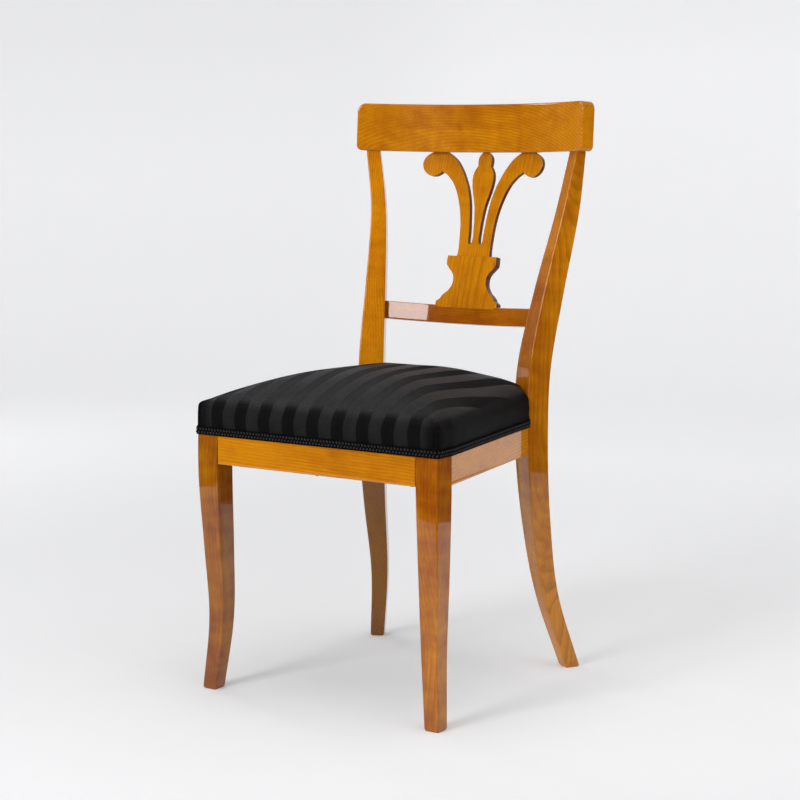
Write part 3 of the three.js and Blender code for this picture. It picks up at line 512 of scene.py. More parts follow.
frontRailHalf = seat["frontHalf"] - frontLeg["width"] + rails["frontLap"]
railPiece("frontApron", "front_rail", (-frontRailHalf, 0.0), 2 * frontRailHalf, (1, 0), (0, 1), (0, 0),
          cherryWood("cherryApron", (0.0, -0.20, 0.10), (0, 88.5, 4), -0.45, 0.0046, 0.25, 0.4, seed=3.0))
railPiece("rearApron", "rear_rail", (rails["rearHalf"], railBack), 2 * rails["rearHalf"], (-1, 0),
          (0, -1), (0, 0),
          cherryWood("cherryRearApron", (0.0, 0.20, 0.16), (0, 91, 0), 0.1, 0.004, 0.4, 0.5, seed=5.2))
for side, hand in ((1, "Right"), (-1, "Left")):
    railPiece("sideApron" + hand, "side_rail_" + hand.lower(),
              (side * seat["frontHalf"], sideStart - rails["sideLap"]), sideLength + rails["sideSpare"],
              (-side * math.sin(sideAngle), math.cos(sideAngle)),
              (-side * math.cos(sideAngle), -math.sin(sideAngle)), rails["sideEnds"],
              cherryWood("cherryApron" + hand, (side * 0.16, 0.0, 0.30), (89, 0, side * 10.1), -0.2,
                         0.005, 0.5, 0.5, seed=7.7 + side))
print("seat rails made")

# Bent rails of the back: both follow one arc in plan that the rear legs stand square to

crest = {
    "height": 76.6, "thickness": 22.0, "tilt": 3.7, "overhang": 16.5, "proud": 4.0,
    "cornerRadius": 14.0, "footRadius": 9.0, "frontArris": 2.8, "backArris": 1.6,
    "columns": 72, "cornerColumns": 9, "rows": 14, "rowShares": (0.03, 0.12, 0.88, 0.97),
}
stay = {
    "bottomShare": 0.3024, "height": 28.6, "thickness": 16.0, "setback": 10.0, "arris": 1.0, "rows": 60,
    "tenon": 12,
}

topX, topY, _, _ = oneAt(rearLegAt, rearLeg["height"])
crestEndX, crestEndY = turned(topX, topY, -crest["overhang"], -crest["proud"])
bendRadius = crestEndX / math.sin(legTurn)
crestRise = bendRadius * (1 - math.cos(legTurn))
crestTilt = math.radians(crest["tilt"])
crestMiddle = (crestEndY + crestRise * math.cos(crestTilt),
               rearLeg["height"] - crestRise * math.sin(crestTilt))
stayBottom = seat["railTop"] + stileHeight * stay["bottomShare"]
stayMid = stayBottom + stay["height"] / 2
stileX, stileY, stileWidth, _ = oneAt(rearLegAt, stayMid)
stayEndX, stayEndY = turned(stileX, stileY, stileWidth, stay["setback"])
stayEndAngle = math.asin(stayEndX / bendRadius)
stayRise = bendRadius * (1 - math.cos(stayEndAngle))
backLean = math.atan2(crestMiddle[0] - stayEndY - stayRise, crestMiddle[1] - stayMid)
stayMiddle = (stayEndY + stayRise, stayBottom - stayRise * math.sin(backLean))


def leaned(x, y, z, middle, angle):
    # Local place of a raked piece, its foot's middle at the origin, in the chair
    return np.stack([x, middle[0] + y * math.cos(angle) + z * math.sin(angle),
                     middle[1] + z * math.cos(angle) - y * math.sin(angle)], -1)


def bent(angle, inward, height, middle, lean):
    # Point of a bent rail: on the arc at an angle, inward from its front face, then leaned
    radius = bendRadius + inward
    return leaned(radius * np.sin(angle), radius * np.cos(angle) - bendRadius, height + 0 * angle,
                  middle, lean)


def crestFace(inset):
    # Grid over the front face, shrunk by the inset: columns crowd into the rounded corners
    length = 2 * bendRadius * legTurn - 2 * inset
    corner = crest["cornerRadius"] - inset
    start = corner * (1 - np.cos(quarterTurn(crest["cornerColumns"])[:-1]))
    middle = np.linspace(corner, length - corner, crest["columns"])
    along = np.concatenate([start, middle, (length - start)[::-1]])
    fromEnd = np.minimum(along, length - along)

    def drop(radius):  # how far a rounded corner falls away: its radius less the circle's height
        inside = np.maximum(radius - fromEnd, 0)
        return radius - np.sqrt(np.maximum(radius ** 2 - inside ** 2, 0))

    low = inset + drop(crest["footRadius"] - inset)
    high = crest["height"] - inset - drop(corner)
    edge, first, last, farEdge = crest["rowShares"]
    rows = np.concatenate([[0, edge], np.linspace(first, last, crest["rows"]), [farEdge, 1]])
    up = low[:, None] + (high - low)[:, None] * rows
    return np.stack([np.broadcast_to((along - length / 2)[:, None], up.shape), up], -1)


crestMesh = slabMesh(
    "crestRail", crestFace, roundedLayers(crest["thickness"], crest["frontArris"], crest["backArris"]),
    lambda along, up, depth: bent(along / bendRadius, depth, up, crestMiddle, crestTilt))
linkPiece("crestRail", crestMesh, [
    cherryWood("cherryCrest", (0.13, 0.34, 0.66), (8, 84, 8), -0.3, 0.0040, 1.3, 1.2, seed=9.1,
               lines=0.95, joint=0.22)], "cherry", "crest_rail")

stayReach = stayEndAngle + stay["tenon"] / bendRadius
stayAngles = np.linspace(-stayReach, stayReach, stay["rows"])[:, None]
staySection = roundedSection(stay["thickness"], stay["height"], stay["arris"])
stayRings = bent(stayAngles + 0 * staySection[..., 0], staySection[..., 0], staySection[..., 1],
                 stayMiddle, backLean)
linkPiece("stayRail", barMesh("stayRail", stayRings), [
    cherryWood("cherryStay", (0.0, 0.12, 0.50), (0, 90, 0), 0.5, 0.0036, 0.6, 0.6, seed=8.3)],
    "cherry", "stay_rail")
print("crest and stay rails made")

# Splat: palmette and plinth, sawn out and slightly bent across. Outlines are in shares of its half width
# and its length.

splat = {
    "half": 111.0, "thickness": 9.0, "plinthThickness": 14.0, "bendRadius": 670.0, "setback": 1.5,
    "topSetback": 12.3, "footOverrun": 4.0, "arris": 0.8, "spacing": 1.3, "plinthSpacing": 1.6,
    "gridStep": 4.0, "sawnRows": 4, "columns": 13, "columnShares": (0.85, 0.96), "leastRise": 0.15,
    "steepest": 4,
    "plinth": [
        [0.516, 0], [0.517, 0.021], [0.483, 0.033], [0.459, 0.041], [0.444, 0.054], [0.398, 0.076],
        [0.357, 0.09], [0.314, 0.113], [0.288, 0.137], [0.279, 0.163], [0.285, 0.191], [0.317, 0.216],
        [0.355, 0.233], [0.388, 0.25], [0.414, 0.266], [0.413, 0.322]],
    "arm": [
        [0.277, 0.322], [0.268, 0.363], [0.27, 0.415], [0.277, 0.477], [0.288, 0.534], [0.309, 0.59],
        [0.333, 0.636], [0.368, 0.686], [0.414, 0.737], [0.479, 0.79], [0.547, 0.825], [0.611, 0.85],
        [0.687, 0.87]],
    "scroll": [
        [0.687, 0.87], [0.725, 0.855], [0.779, 0.842], [0.838, 0.838], [0.899, 0.843], [0.951, 0.858],
        [0.989, 0.878], [1.011, 0.903], [1.012, 0.927], [0.994, 0.95], [0.957, 0.97], [0.912, 0.984],
        [0.856, 0.996], [0.793, 1.004], [0.725, 1.005], [0.627, 0.996], [0.54, 0.973], [0.473, 0.948],
        [0.413, 0.915], [0.355, 0.877], [0.301, 0.832], [0.255, 0.789], [0.218, 0.745], [0.193, 0.707],
        [0.171, 0.664], [0.155, 0.618], [0.142, 0.57], [0.131, 0.522], [0.122, 0.47], [0.119, 0.422],
        [0.11, 0.407], [0.092, 0.401]],
    "bud": [
        [0.092, 0.401], [0.074, 0.405], [0.061, 0.416], [0.054, 0.446], [0.057, 0.494], [0.062, 0.546],
        [0.074, 0.598], [0.086, 0.64], [0.108, 0.682], [0.135, 0.723], [0.158, 0.763], [0.173, 0.803],
        [0.176, 0.833], [0.166, 0.863], [0.139, 0.89], [0.108, 0.911]],
    "tip": [[0.108, 0.911], [0.114, 0.938], [0.112, 0.958], [0.09, 0.98], [0.052, 0.996], [0, 1.006]],
}
stayTop = leaned(np.array(0.0), np.array(0.0), np.array(stay["height"]), stayMiddle, backLean)
splatFoot = (float(stayTop[1]) + splat["setback"], float(stayTop[2]))
splatRise = crestMiddle[1] - splatFoot[1]
splatRake = math.atan2(crestMiddle[0] + splat["topSetback"] - splatFoot[0], splatRise)
splatScale = [splat["half"], splatRise / math.cos(splatRake)]


def splatPut(x, up, back):
    # Across, up the face and back from the middle sheet, which bows across on its own arc
    bow = splat["bendRadius"] - np.sqrt(splat["bendRadius"] ** 2 - x * x)
    return leaned(x, splat["thickness"] / 2 + back - bow, up, splatFoot, splatRake)


def plinthFace(inset):
    # Grid over the plinth: its half width follows the sawn outline, less the inset
    table = np.array(splat["plinth"]) * splatScale
    table[0, 1] = -splat["footOverrun"]
    line = smoothLine(table, splat["plinthSpacing"])
    slope = np.gradient(line[:, 0]) / np.maximum(np.gradient(line[:, 1]), splat["leastRise"])
    half = line[:, 0] - inset * np.sqrt(1 + np.minimum(slope ** 2, splat["steepest"]))
    low, high = line[0, 1], line[-1, 1]
    up = low + inset + (line[:, 1] - low) * (high - low - 2 * inset) / (high - low)
    last, edge = splat["columnShares"]
    columns = np.concatenate([[-1, -edge], np.linspace(-last, last, splat["columns"]), [edge, 1]])
    return raised((half[:, None] * columns)[..., None], up[:, None])


def palmetteOutline():
    # The sawn outline, run round once: right arm, scroll, bud, then their mirror images
    lines = [smoothLine(np.array(splat[part]) * splatScale, splat["spacing"])
             for part in ("arm", "scroll", "bud", "tip")]
    half = np.concatenate([lines[0], *[line[1:] for line in lines[1:]]])
    return np.concatenate([half, (half * [-1, 1])[-2::-1]])


filling = {  # how a plate's faces are filled with triangles
    "sharpest": 0.6, "rowShare": 0.866, "supportInset": 0.9, "supportGap": 0.7, "gapShare": 0.55,
    "batch": 400, "merge": 1e-6,
}


def insetLine(line, inset):
    # A closed line moved inward along the mean of its two edge normals, less where it turns sharply
    before, after = line - np.roll(line, 1, 0), np.roll(line, -1, 0) - line
    normals = [-rightOf(way) for way in (before, after)]
    mean = unit(normals[0] + normals[1])
    stretch = 1 / np.maximum((mean * normals[0]).sum(1), filling["sharpest"])
    return line + mean * (inset * stretch)[:, None]


def insideLine(line, points):
    # Even-odd test of many points against a closed line
    (ax, ay), (bx, by) = line.T, np.roll(line, -1, 0).T
    x, y = points.T[..., None]
    crossing = (ay > y) != (by > y)
    at = ax + (y - ay) * (bx - ax) / np.where(crossing, by - ay, 1)
    return (crossing & (x < at)).sum(1) % 2 == 1


def plateMesh(name, outline, layers, put, step, sharp=40):
    # A plate of any outline: both faces are filled with triangles over a staggered grid, so that they
    # bend evenly, with a row of support points just inside the edge
    def nearest(points):  # distance to the nearest point of the edge
        batches = np.array_split(points, max(1, len(points) // filling["batch"]))
        return np.concatenate([np.linalg.norm(part[:, None, :] - edge, axis=2).min(1)
                               for part in batches])

    edge = insetLine(outline, layers[0][0])
    low, high = edge.min(0), edge.max(0)
    xs, ys = np.meshgrid(np.arange(low[0], high[0], step),
                         np.arange(low[1], high[1], step * filling["rowShare"]))
    xs = xs + (np.arange(len(xs)) % 2)[:, None] * step / 2
    inner = np.stack([xs.ravel(), ys.ravel()], -1)
    inner = inner[insideLine(edge, inner)]
    inner = inner[nearest(inner) > step * filling["gapShare"]]
    support = insetLine(outline, layers[0][0] + filling["supportInset"])[::2]
    support = support[insideLine(edge, support)]
    support = support[nearest(support) > filling["supportGap"]]
    flat = np.concatenate([edge, inner, support])
    count = len(edge)
    found = delaunay_2d_cdt([Vector(p) for p in flat], [], [list(range(count))], 1, filling["merge"])
    triangles = [list(face) for face in found[2]]
    flat = np.array([list(p) for p in found[0]])
    order = {origin: k for k, origins in enumerate(found[3]) for origin in origins}
    rim = np.array([order[k] for k in range(count)])
    return layeredMesh(name, (triangles, [face[::-1] for face in triangles]), (flat, flat), rim,
                       lambda inset: insetLine(outline, inset), layers, put, sharp)


def splatPiece(name, node, makeMesh, shape, rimCount, thickness, wood, **options):
    # Slab or plate between sawn edges; the rim's rows from the middle on show the sawn wood
    mesh = makeMesh(name, shape, roundedLayers(thickness, splat["arris"], splat["arris"], 3),
                    lambda x, up, depth: splatPut(x, up, depth - thickness / 2), **options)
    secondMaterial(mesh, -splat["sawnRows"] * rimCount)
    linkPiece(name, mesh, [wood, sawnCherry], "cherry", node)


sawnCherry = cherryWood("cherrySawnEdge", (0.2, 0.1, 0.5), (11, 1, 0), 0.9, 0.004, 0.6, 0.5, seed=14.0,
                        polish=0.35, shade=0.42)
splatPiece("splatPlinth", "splat_plinth", slabMesh, plinthFace, 2 * sum(plinthFace(0.0).shape[:2]) - 4,
           splat["plinthThickness"], cherryWood(
               "cherryPlinth", (0.05, 0.05, 0.5), (11, 1, 0), -0.4, 0.0042, 0.5, 0.5, seed=11.0))
palmetteLine = palmetteOutline()
splatPiece("splatPalmette", "splat_palmette", plateMesh, palmetteLine, len(palmetteLine),
           splat["thickness"], cherryWood(
               "cherryPalmette", (0.16, 0.30, 0.6), (13, -3, 0), -0.3, 0.0040, 0.8, 0.9, seed=12.5,
               lines=0.7), step=splat["gridStep"])
print("splat made")


# Fabrics

silk = {
    "pitch": 0.044, "darkHalf": 0.0107, "shift": 0.00065, "edge": 0.0004,
    # the last colour here is the matte stripes lit by a painted sheen
    "satin": (0.026, 0.026, 0.027), "matte": (0.0095, 0.0095, 0.010), "litMatte": (0.029, 0.029, 0.030),
    "satinRough": 0.42, "matteRough": 0.75, "warp": 0.00052, "weft": 0.00078, "twill": 0.0011,
}


def stripedSilk(name):
    # Stripes and weave follow the cloth's own coordinates: across the stripes, then along. The side border
    # gets painted shade, and on the front of the crown the matte stripes get a painted sheen, lifted towards
    # the satin's tone where the light catches them.
    sheet = Sheet(name)
    cloth = sheet.cloth()
    across, along, _ = sheet.parts(cloth)
    wobble = (sheet.noise(cloth, (9, 30, 1), 1.0) - 0.5) * 0.0012
    cell = ((across + wobble) * (1 / silk["pitch"]) + (0.5 - silk["shift"] / silk["pitch"])).fraction()
    fromMiddle = (cell - 0.5).size() * silk["pitch"]
    satin = fromMiddle.ramp(silk["darkHalf"] - silk["edge"], silk["darkHalf"] + silk["edge"])
    fleck = sheet.noise(cloth, (900, 420, 1), 2.0, 0.7)
    cloud = sheet.noise(cloth, (38, 22, 1), 3.0)
    slub = sheet.noise(cloth, (60, 1500, 1), 1.0).ramp(0.62, 0.8)
    grit = sheet.noise(cloth, (330, 260, 1), 2.0, 0.6)
    x, y, z = sheet.parts(sheet.place())
    # painted sheen: the matte stripes on the front of the crown turn lighter, towards the satin's tone
    paintedSheen = z.ramp(0.442, 0.452) * (x * 0.8 + y * 1.1).ramp(-0.16, 0.06, 1.0, 0.0)
    # painted shade on the side border: its stripes are evened out and it is darkened
    side = (x.size() + y * 0.178 - 0.1781).ramp(-0.034, -0.016) * z.ramp(0.442, 0.450, 1.0, 0.0)
    satin = satin * (1 - side * 0.94) + side * 0.5
    colour = sheet.mix(satin, sheet.mix(paintedSheen, silk["matte"], silk["litMatte"]), silk["satin"])
    shade = fleck.ramp(0.25, 0.8, 0.62, 1.5) * grit.ramp(0.25, 0.75, 0.82, 1.2)
    shade = shade * cloud.ramp(0.3, 0.75, 0.85, 1.15) * (1 + slub * 0.25)
    # painted shade: the side border darker still, and the border below the roll darker than the crown
    shade = shade * ((1 - side * 0.42) * z.ramp(0.434, 0.449, 0.43, 1.0))
    weave = across.wave(silk["warp"]) * 0.25 + along.wave(silk["weft"]) * satin.ramp(0, 1, 0.5, 0.2)
    height = weave + (across * 0.7 + along).wave(silk["twill"]) * 0.3 + fleck * 0.9
    return sheet.finish({
        "Base Color": sheet.shaded(colour, shade), "Specular IOR Level": 0.04,
        "Roughness": satin.ramp(0, 1, silk["matteRough"], silk["satinRough"]) + (fleck - 0.5) * 0.16,
    }, height, 0.00014, 0.75)


def braidSilk(name, dark, light, gloss, rough):
    # Cord of the gimp: fine twisted strands, by slanted waves over object coordinates
    sheet = Sheet(name)
    here = sheet.place()
    x, y, z = sheet.parts(here)
    strand = (x * 0.7 + y * 0.7 + z * 1.3).wave(0.0007)
    fleck = sheet.noise(here, (1400, 1400, 1400))
    return sheet.finish({
        "Base Color": sheet.mix((strand * 0.5 + 0.5) * 0.6 + fleck * 0.4, dark, light),
        "Roughness": rough + fleck * 0.2, "Specular IOR Level": gloss,
    }, strand * 0.6 + fleck * 0.5, 0.0001, 0.8)


def wovenCloth(name, light, dark, pitch, stripe=None):
    # Plain weave: over and under threads as the product of two waves, with uneven yarn and open gaps
    sheet = Sheet(name)
    cloth = sheet.cloth()
    across, along, _ = sheet.parts(cloth)
    drift = (sheet.noise(cloth, (40, 40, 1)) - 0.5) * (pitch * 1.4)
    over = (across + drift).wave(pitch) * (along + drift).wave(pitch)
    fleck = sheet.noise(cloth, (1100, 1100, 1), 3.0, 0.65)
    cloud = sheet.noise(cloth, (14, 14, 1), 3.0)
    share = over * 0.28 + fleck * 0.5 + cloud * 0.4 - 0.15
    colour = sheet.mix(share.maths("MAXIMUM", 0.0).maths("MINIMUM", 1.0), dark, light)
    if stripe:
        fromStripe = (across.size() - stripe["place"]).size()
        band = fromStripe.ramp(stripe["half"], stripe["half"] + stripe["edge"], 1.0, 0.0)
        colour = sheet.mix(band * (fleck * 0.5 + 0.5), colour, stripe["colour"])
    return sheet.finish({
        "Base Color": colour, "Roughness": 0.92 + (fleck - 0.5) * 0.1, "Sheen Weight": 0.15,
    }, over * 0.6 + fleck * 0.6, pitch * 0.16, 0.8)


# Seat: one closed form of cover over stuffing, from the hem over the border and the crown, and back
# under itself on the hessian. Rows run round the seat, columns from the hem to the crown's middle.

cushion = {
    # outline in plan
    "margin": 2.1, "inside": 0.35, "innerGap": 1.3, "cornerRadius": 5.5, "rearInset": 18.0,
    "back": 385.4, "pleatEnds": (-6, 0.4), "frontPoints": (48, 14), "cornerPoints": 8,
    "sidePoints": (12, 66, 14), "rearPoints": 34,
    # heights and rings
    "hem": 394.2, "hemRise": 0.5, "low": 404, "lowRun": 8, "borderTop": 445.0, "bulge": 0.8,
    "shrink": 1.6, "under": 431.5, "innerHeights": (430, 418, 405),
    "underShares": (0.9, 0.6, 0.3, 0.06, 0.004), "shoulder": 8.5, "crown": 46.5, "crownPower": 0.9,
    "flat": 0.10, "middleHole": 0.01, "innerRows": 10, "borderRows": 12, "shoulderRows": 8,
    "crownRows": 40,
    # corners that round off as the rings shrink
    "soften": 0.22, "cornerBlur": 4.0, "blurFull": 0.16, "blurLeast": 1e-4, "ovalHalf": (192, 196),
    "bearings": 1440,
    # blowing up
    "frames": 20, "cap": 3.6, "holdTop": 412, "holdRun": 12,
    "cloth": {
        "vertex_group_mass": "held", "use_pressure": True, "uniform_pressure_force": 4.0,
        "quality": 4, "mass": 0.3, "tension_stiffness": 12, "compression_stiffness": 12,
        "bending_stiffness": 0.6,
    },
    # swells of the stuffing and full rear corners
    "swellFrom": 442, "swellRise": 12, "swellHeight": 0.35, "swellAcross": 31, "swellBack": 37,
    "swellShift": 0.7, "swellBend": 1.3, "bendBack": 47, "ripple": 0.12, "rippleAcross": 15.5,
    "rippleBack": 60, "rearFull": 5.0, "rearFullAt": (138, 318), "rearFullSize": (36, 70),
    # pleats at the front corners and the creases above them
    "pleatPlace": 209.6, "pleatLift": 1.25, "pleatGutter": 0.9, "pleatRun": 26.0, "pleatStep": 0.35,
    "gutterWidth": 0.8, "foldOver": 3, "foldRun": 12, "hemFade": (403.5, 5), "crease": 0.45,
    "creaseHalf": (9, 8), "creaseHeight": 441, "creaseTop": 452, "creaseFrom": (-0.5, 448),
    "creaseCount": 8,
    # room over the rails
    "clear": 0.45, "railClearTop": 428,
}
seatMiddle = np.array([0.0, cushion["back"] / 2])


def seatRing(margin):
    # Outline of the seat in plan, anticlockwise from the middle of the front, grown by a margin
    radius = cushion["cornerRadius"]
    half = seat["frontHalf"] + margin
    kinkX = seat["rearHalf"] + margin / math.cos(sideAngle)
    rearX, rearY = seat["rearHalf"] - cushion["rearInset"], cushion["back"] + margin
    pleat = cushion["pleatPlace"]
    before, after = (pleat + end for end in cushion["pleatEnds"])
    plainCount, pleatCount = cushion["frontPoints"]
    front = np.concatenate([np.linspace(0, before, plainCount)[:-1], np.linspace(before, after, pleatCount)])
    turn = quarterTurn(cushion["cornerPoints"])
    legCount, sideCount, stileCount = cushion["sidePoints"]

    def run(start, end, count):  # points on a straight line, the first left out
        return np.array(start) + (np.array(end) - start) * np.linspace(0, 1, count)[1:, None]

    right = np.concatenate([
        raised(front[:, None], -margin),
        np.stack([half - radius + radius * np.sin(turn), -margin + radius * (1 - np.cos(turn))], -1),
        run([half, -margin + radius], [half, sideStart], legCount),
        run([half, sideStart], [kinkX, seat["depth"]], sideCount),
        run([kinkX, seat["depth"]], [rearX, rearY], stileCount),
        run([rearX, rearY], [0, rearY], cushion["rearPoints"]),
    ])
    return np.concatenate([right, (right * [-1, 1])[-2:0:-1]])


def shrunkRing(ring, shrink):
    # A ring drawn towards the middle; its corners round off as it shrinks, by a blur of its reach over
    # the bearing and by a pull towards an ellipse
    out = ring - seatMiddle
    reach = np.hypot(out[:, 0], out[:, 1])
    bearing = np.arctan2(out[:, 1], out[:, 0])
    order = np.argsort(bearing)
    bearings = np.linspace(-math.pi, math.pi, cushion["bearings"] + 1)[:-1]
    even = np.interp(bearings, bearing[order], reach[order], period=2 * math.pi)
    widest = math.radians(cushion["cornerBlur"])
    spread = widest * min(1, shrink / cushion["blurFull"]) + cushion["blurLeast"]
    bell = np.exp(-0.5 * (bearings / spread) ** 2)
    blurred = np.fft.ifft(np.fft.fft(even) * np.fft.fft(np.fft.ifftshift(bell / bell.sum()))).real
    blurred = np.interp(bearing, bearings, blurred, period=2 * math.pi)
    oval = reach / np.hypot(*(out / cushion["ovalHalf"]).T)
    ease = cushion["soften"] * (1 - (1 - shrink) ** 2)
    drawn = (1 - shrink) * (oval / reach) ** ease * (blurred / reach)
    return seatMiddle + out * np.where(oval < reach, drawn, 1 - shrink)[:, None]


def cushionRings():
    # Rings from the underside, down inside the rails, round the hem, up the border, over the shoulder's
    # quarter circle, then the crown: height = crown (1 - (1 - t)^2)^crownPower as the rings shrink
    margin, hem, borderTop = cushion["margin"], cushion["hem"] + cushion["hemRise"], cushion["borderTop"]
    slim = margin - cushion["shrink"]
    inside = cushion["inside"]
    skirt, inner, outer = (seatRing(m) for m in (inside, inside - cushion["innerGap"], slim))
    rings = [(shrunkRing(inner, shrink), cushion["under"]) for shrink in cushion["underShares"]]
    rings += [(skirt, height) for height in (*cushion["innerHeights"], hem)]
    rings.append((seatRing((inside + margin) / 2), cushion["hem"]))
    shoulderStart = borderTop - cushion["shoulder"]
    for up in np.linspace(0, 1, cushion["borderRows"]):
        height = hem + (shoulderStart - hem) * up
        bulge = cushion["bulge"] * math.sin(math.pi * up)
        grow = (slim - margin + bulge) * portion(height, cushion["low"], cushion["lowRun"])
        rings.append((seatRing(margin + grow), height))
    rollShare = cushion["shoulder"] / seatMiddle[1]
    for turn in quarterTurn(cushion["shoulderRows"])[1:]:
        lift = cushion["shoulder"] * math.sin(turn) - cushion["shrink"] * turn / math.pi * 2
        rings.append((shrunkRing(outer, rollShare * (1 - math.cos(turn))), shoulderStart + lift))
    for t in np.linspace(0, 1, cushion["crownRows"] + 1)[1:]:
        shrink = rollShare + (1 - rollShare - cushion["middleHole"]) * t
        rise = portion(shrink, rollShare, 1 - cushion["flat"] - rollShare)
        lift = cushion["crown"] * (1 - (1 - rise) ** 2) ** cushion["crownPower"]
        rings.append((shrunkRing(outer, shrink), borderTop - cushion["shrink"] + lift))
    return np.stack([raised(ring, height) for ring, height in rings])


def puff(piece, held, cap):
    # Cloth under light pressure with no weight; held points stay. Gives each point's move, none of
    # them further than the cap
    group = piece.vertex_groups.new(name="held")
    for weight in np.unique(held[held > 0]):
        group.add(np.flatnonzero(held == weight).tolist(), float(weight), "REPLACE")
    modifier = piece.modifiers.new("puff", "CLOTH")
    for key, value in cushion["cloth"].items():
        setattr(modifier.settings, key, value)
    modifier.settings.effector_weights.gravity = 0
    modifier.point_cache.frame_start = 1
    modifier.point_cache.frame_end = cushion["frames"]
    for step in range(1, cushion["frames"] + 1):
        bpy.context.scene.frame_set(step)
    swollen = piece.evaluated_get(bpy.context.evaluated_depsgraph_get())
    moved = pointsOf(swollen.data) - pointsOf(piece.data)
    piece.modifiers.remove(modifier)
    piece.vertex_groups.remove(group)
    bpy.context.scene.frame_set(1)
    reach = np.linalg.norm(moved, axis=1, keepdims=True)
    return moved * np.minimum(1, cap / np.maximum(reach, 1e-9))


def cushionPiece():
    # The form is blown up, then swollen, pleated and kept clear of the rails, point by point along
    # the outline's normal
    rings = cushionRings()
    rows, count, _ = rings.shape
    mesh = barMesh("seatCushion", rings, 80)
    piece = linkPiece("seatCushion", mesh, [stripedSilk("stripedSilkCover")], "striped_silk",
                      "seat_cover", "seat_stuffing")
    places = rings.reshape(-1, 3)
    outer = np.repeat(np.arange(rows) >= cushion["innerRows"], count)
    held = portion(-places[:, 2], -cushion["holdTop"], cushion["holdRun"])
    held = np.where(outer, held, 1.0)
    moved = puff(piece, held, cushion["cap"] * 0.001)
    furthest = float(np.linalg.norm(moved, axis=1).max()) * 1000
    print("cushion puffed, furthest move", round(furthest, 2), "mm")
    x, y, z = ((pointsOf(mesh) + moved) * 1000 - rowShift).T
    # Hand-laid stuffing: slow low swells over the crown and along the roll, and full rear corners
    bend = cushion["swellBend"] * np.sin(y / cushion["bendBack"])
    swell = np.sin(x / cushion["swellAcross"] + bend)
    swell = swell * np.sin(y / cushion["swellBack"] + cushion["swellShift"]) * cushion["swellHeight"]
    swell += np.sin(x / cushion["rippleAcross"] + y / cushion["rippleBack"]) * cushion["ripple"]
    (fullX, fullY), (wide, deep) = cushion["rearFullAt"], cushion["rearFullSize"]
    rearCorner = np.exp(-((np.abs(x) - fullX) / wide) ** 2 - ((y - fullY) / deep) ** 2)
    rearCorner = rearCorner * cushion["rearFull"]
    z = z + (swell + rearCorner) * portion(z, cushion["swellFrom"], cushion["swellRise"])
    # Pleat at each front corner: the side's cloth is folded over the front's. Along the outline, past
    # the fold, the cloth stands out by a step that dies away along the side; a gutter runs before it
    ring = np.tile(np.arange(count), rows)
    plain = seatRing(0)
    along = chordOf(plain)
    along = np.minimum(along, along[-1] + np.linalg.norm(plain[-1] - plain[0]) - along)
    way = np.roll(plain, -1, 0) - np.roll(plain, 1, 0)
    outward = rightOf(way)[ring]
    past = along - cushion["pleatPlace"]
    step = 1 / (1 + np.exp(-np.clip(past / cushion["pleatStep"], -30, 30)))
    step = step * portion(-past, -cushion["pleatRun"], cushion["pleatRun"])
    gutter = np.exp(-(past / cushion["gutterWidth"] + 1) ** 2)
    fold = (step * cushion["pleatLift"] - gutter * cushion["pleatGutter"])[ring]
    past, plain = past[ring], plain[ring]
    fade = portion(-z, -cushion["borderTop"] - cushion["foldOver"], cushion["foldRun"])
    fade = fade * portion(z, *cushion["hemFade"]) * outer
    wide, high = cushion["creaseHalf"]
    spot = np.exp(-((past / wide) ** 2 + ((z - cushion["creaseHeight"]) / high) ** 2))
    spot = spot * outer * (z < cushion["creaseTop"])
    fromPast, fromHeight = cushion["creaseFrom"]
    creases = np.sin(np.arctan2(z - fromHeight, past - fromPast) * cushion["creaseCount"])
    move = fold * fade + spot * creases * cushion["crease"]
    # Below the border the cloth stays clear of the rails
    plan = np.stack([x, y], -1) + outward * move[:, None]
    gap = ((plan - plain) * outward).sum(1)
    short = np.clip(cushion["clear"] - gap, 0, None) * outer * (z < cushion["railClearTop"])
    plan = plan + outward * short[:, None]
    mesh.vertices.foreach_set("co", ((raised(plan, z) + rowShift) * 0.001).ravel())
    # Cloth coordinates: straight across the top and down the front; over the sides they go on with
    # the drop below the roll, so the outer stripes run off over the edge
    x, y = plan.T
    drop = np.clip(cushion["borderTop"] - z, 0, None)
    sideways = (np.abs(plain[:, 0]) > cushion["pleatPlace"]) & (plain[:, 1] > 0.5)
    sideways &= plain[:, 1] < cushion["back"] - 1
    across = x + np.where(sideways, np.sign(x) * drop, 0)
    along = y + np.where(sideways, 0, np.where(places[:, 1] < seatMiddle[1], -drop, drop))
    setCloth(mesh, across * 0.001, along * 0.001)
    mesh.update()


cushionPiece()
print("cushion made")

# Gimp: a tape with two rows of slanted stitches between three cords

gimp = {
    "bottom": 392.7, "height": 12.6, "margin": 2.7, "tape": 0.6, "lip": 0.3, "spacing": 2.0, "pitch": 5.6,
    "stitch": (2.1, 1.1, 1.3), "slant": 48.0, "sway": 0.16, "rowPlaces": (3.9, 8.7),
    "cordPlaces": (0.95, 6.3, 11.65), "cordRadius": 0.5, "cordOut": 0.15, "stitchOut": 0.55,
    "belts": 4, "sides": 8, "swayTurn": 2.399, "swayRise": 0.6, "rearShort": 0.4, "rearPoints": 60,
}


def evenLine(points, spacing):
    # Points at even distances along a line, with the way it runs and its right-hand normal at each
    chord = chordOf(points)
    at = np.linspace(0, chord[-1], int(round(chord[-1] / spacing)) + 1)
    line = np.stack([np.interp(at, chord, points[:, k]) for k in range(2)], -1)
    way = unit(np.gradient(line, axis=0))
    return line, way, rightOf(way)


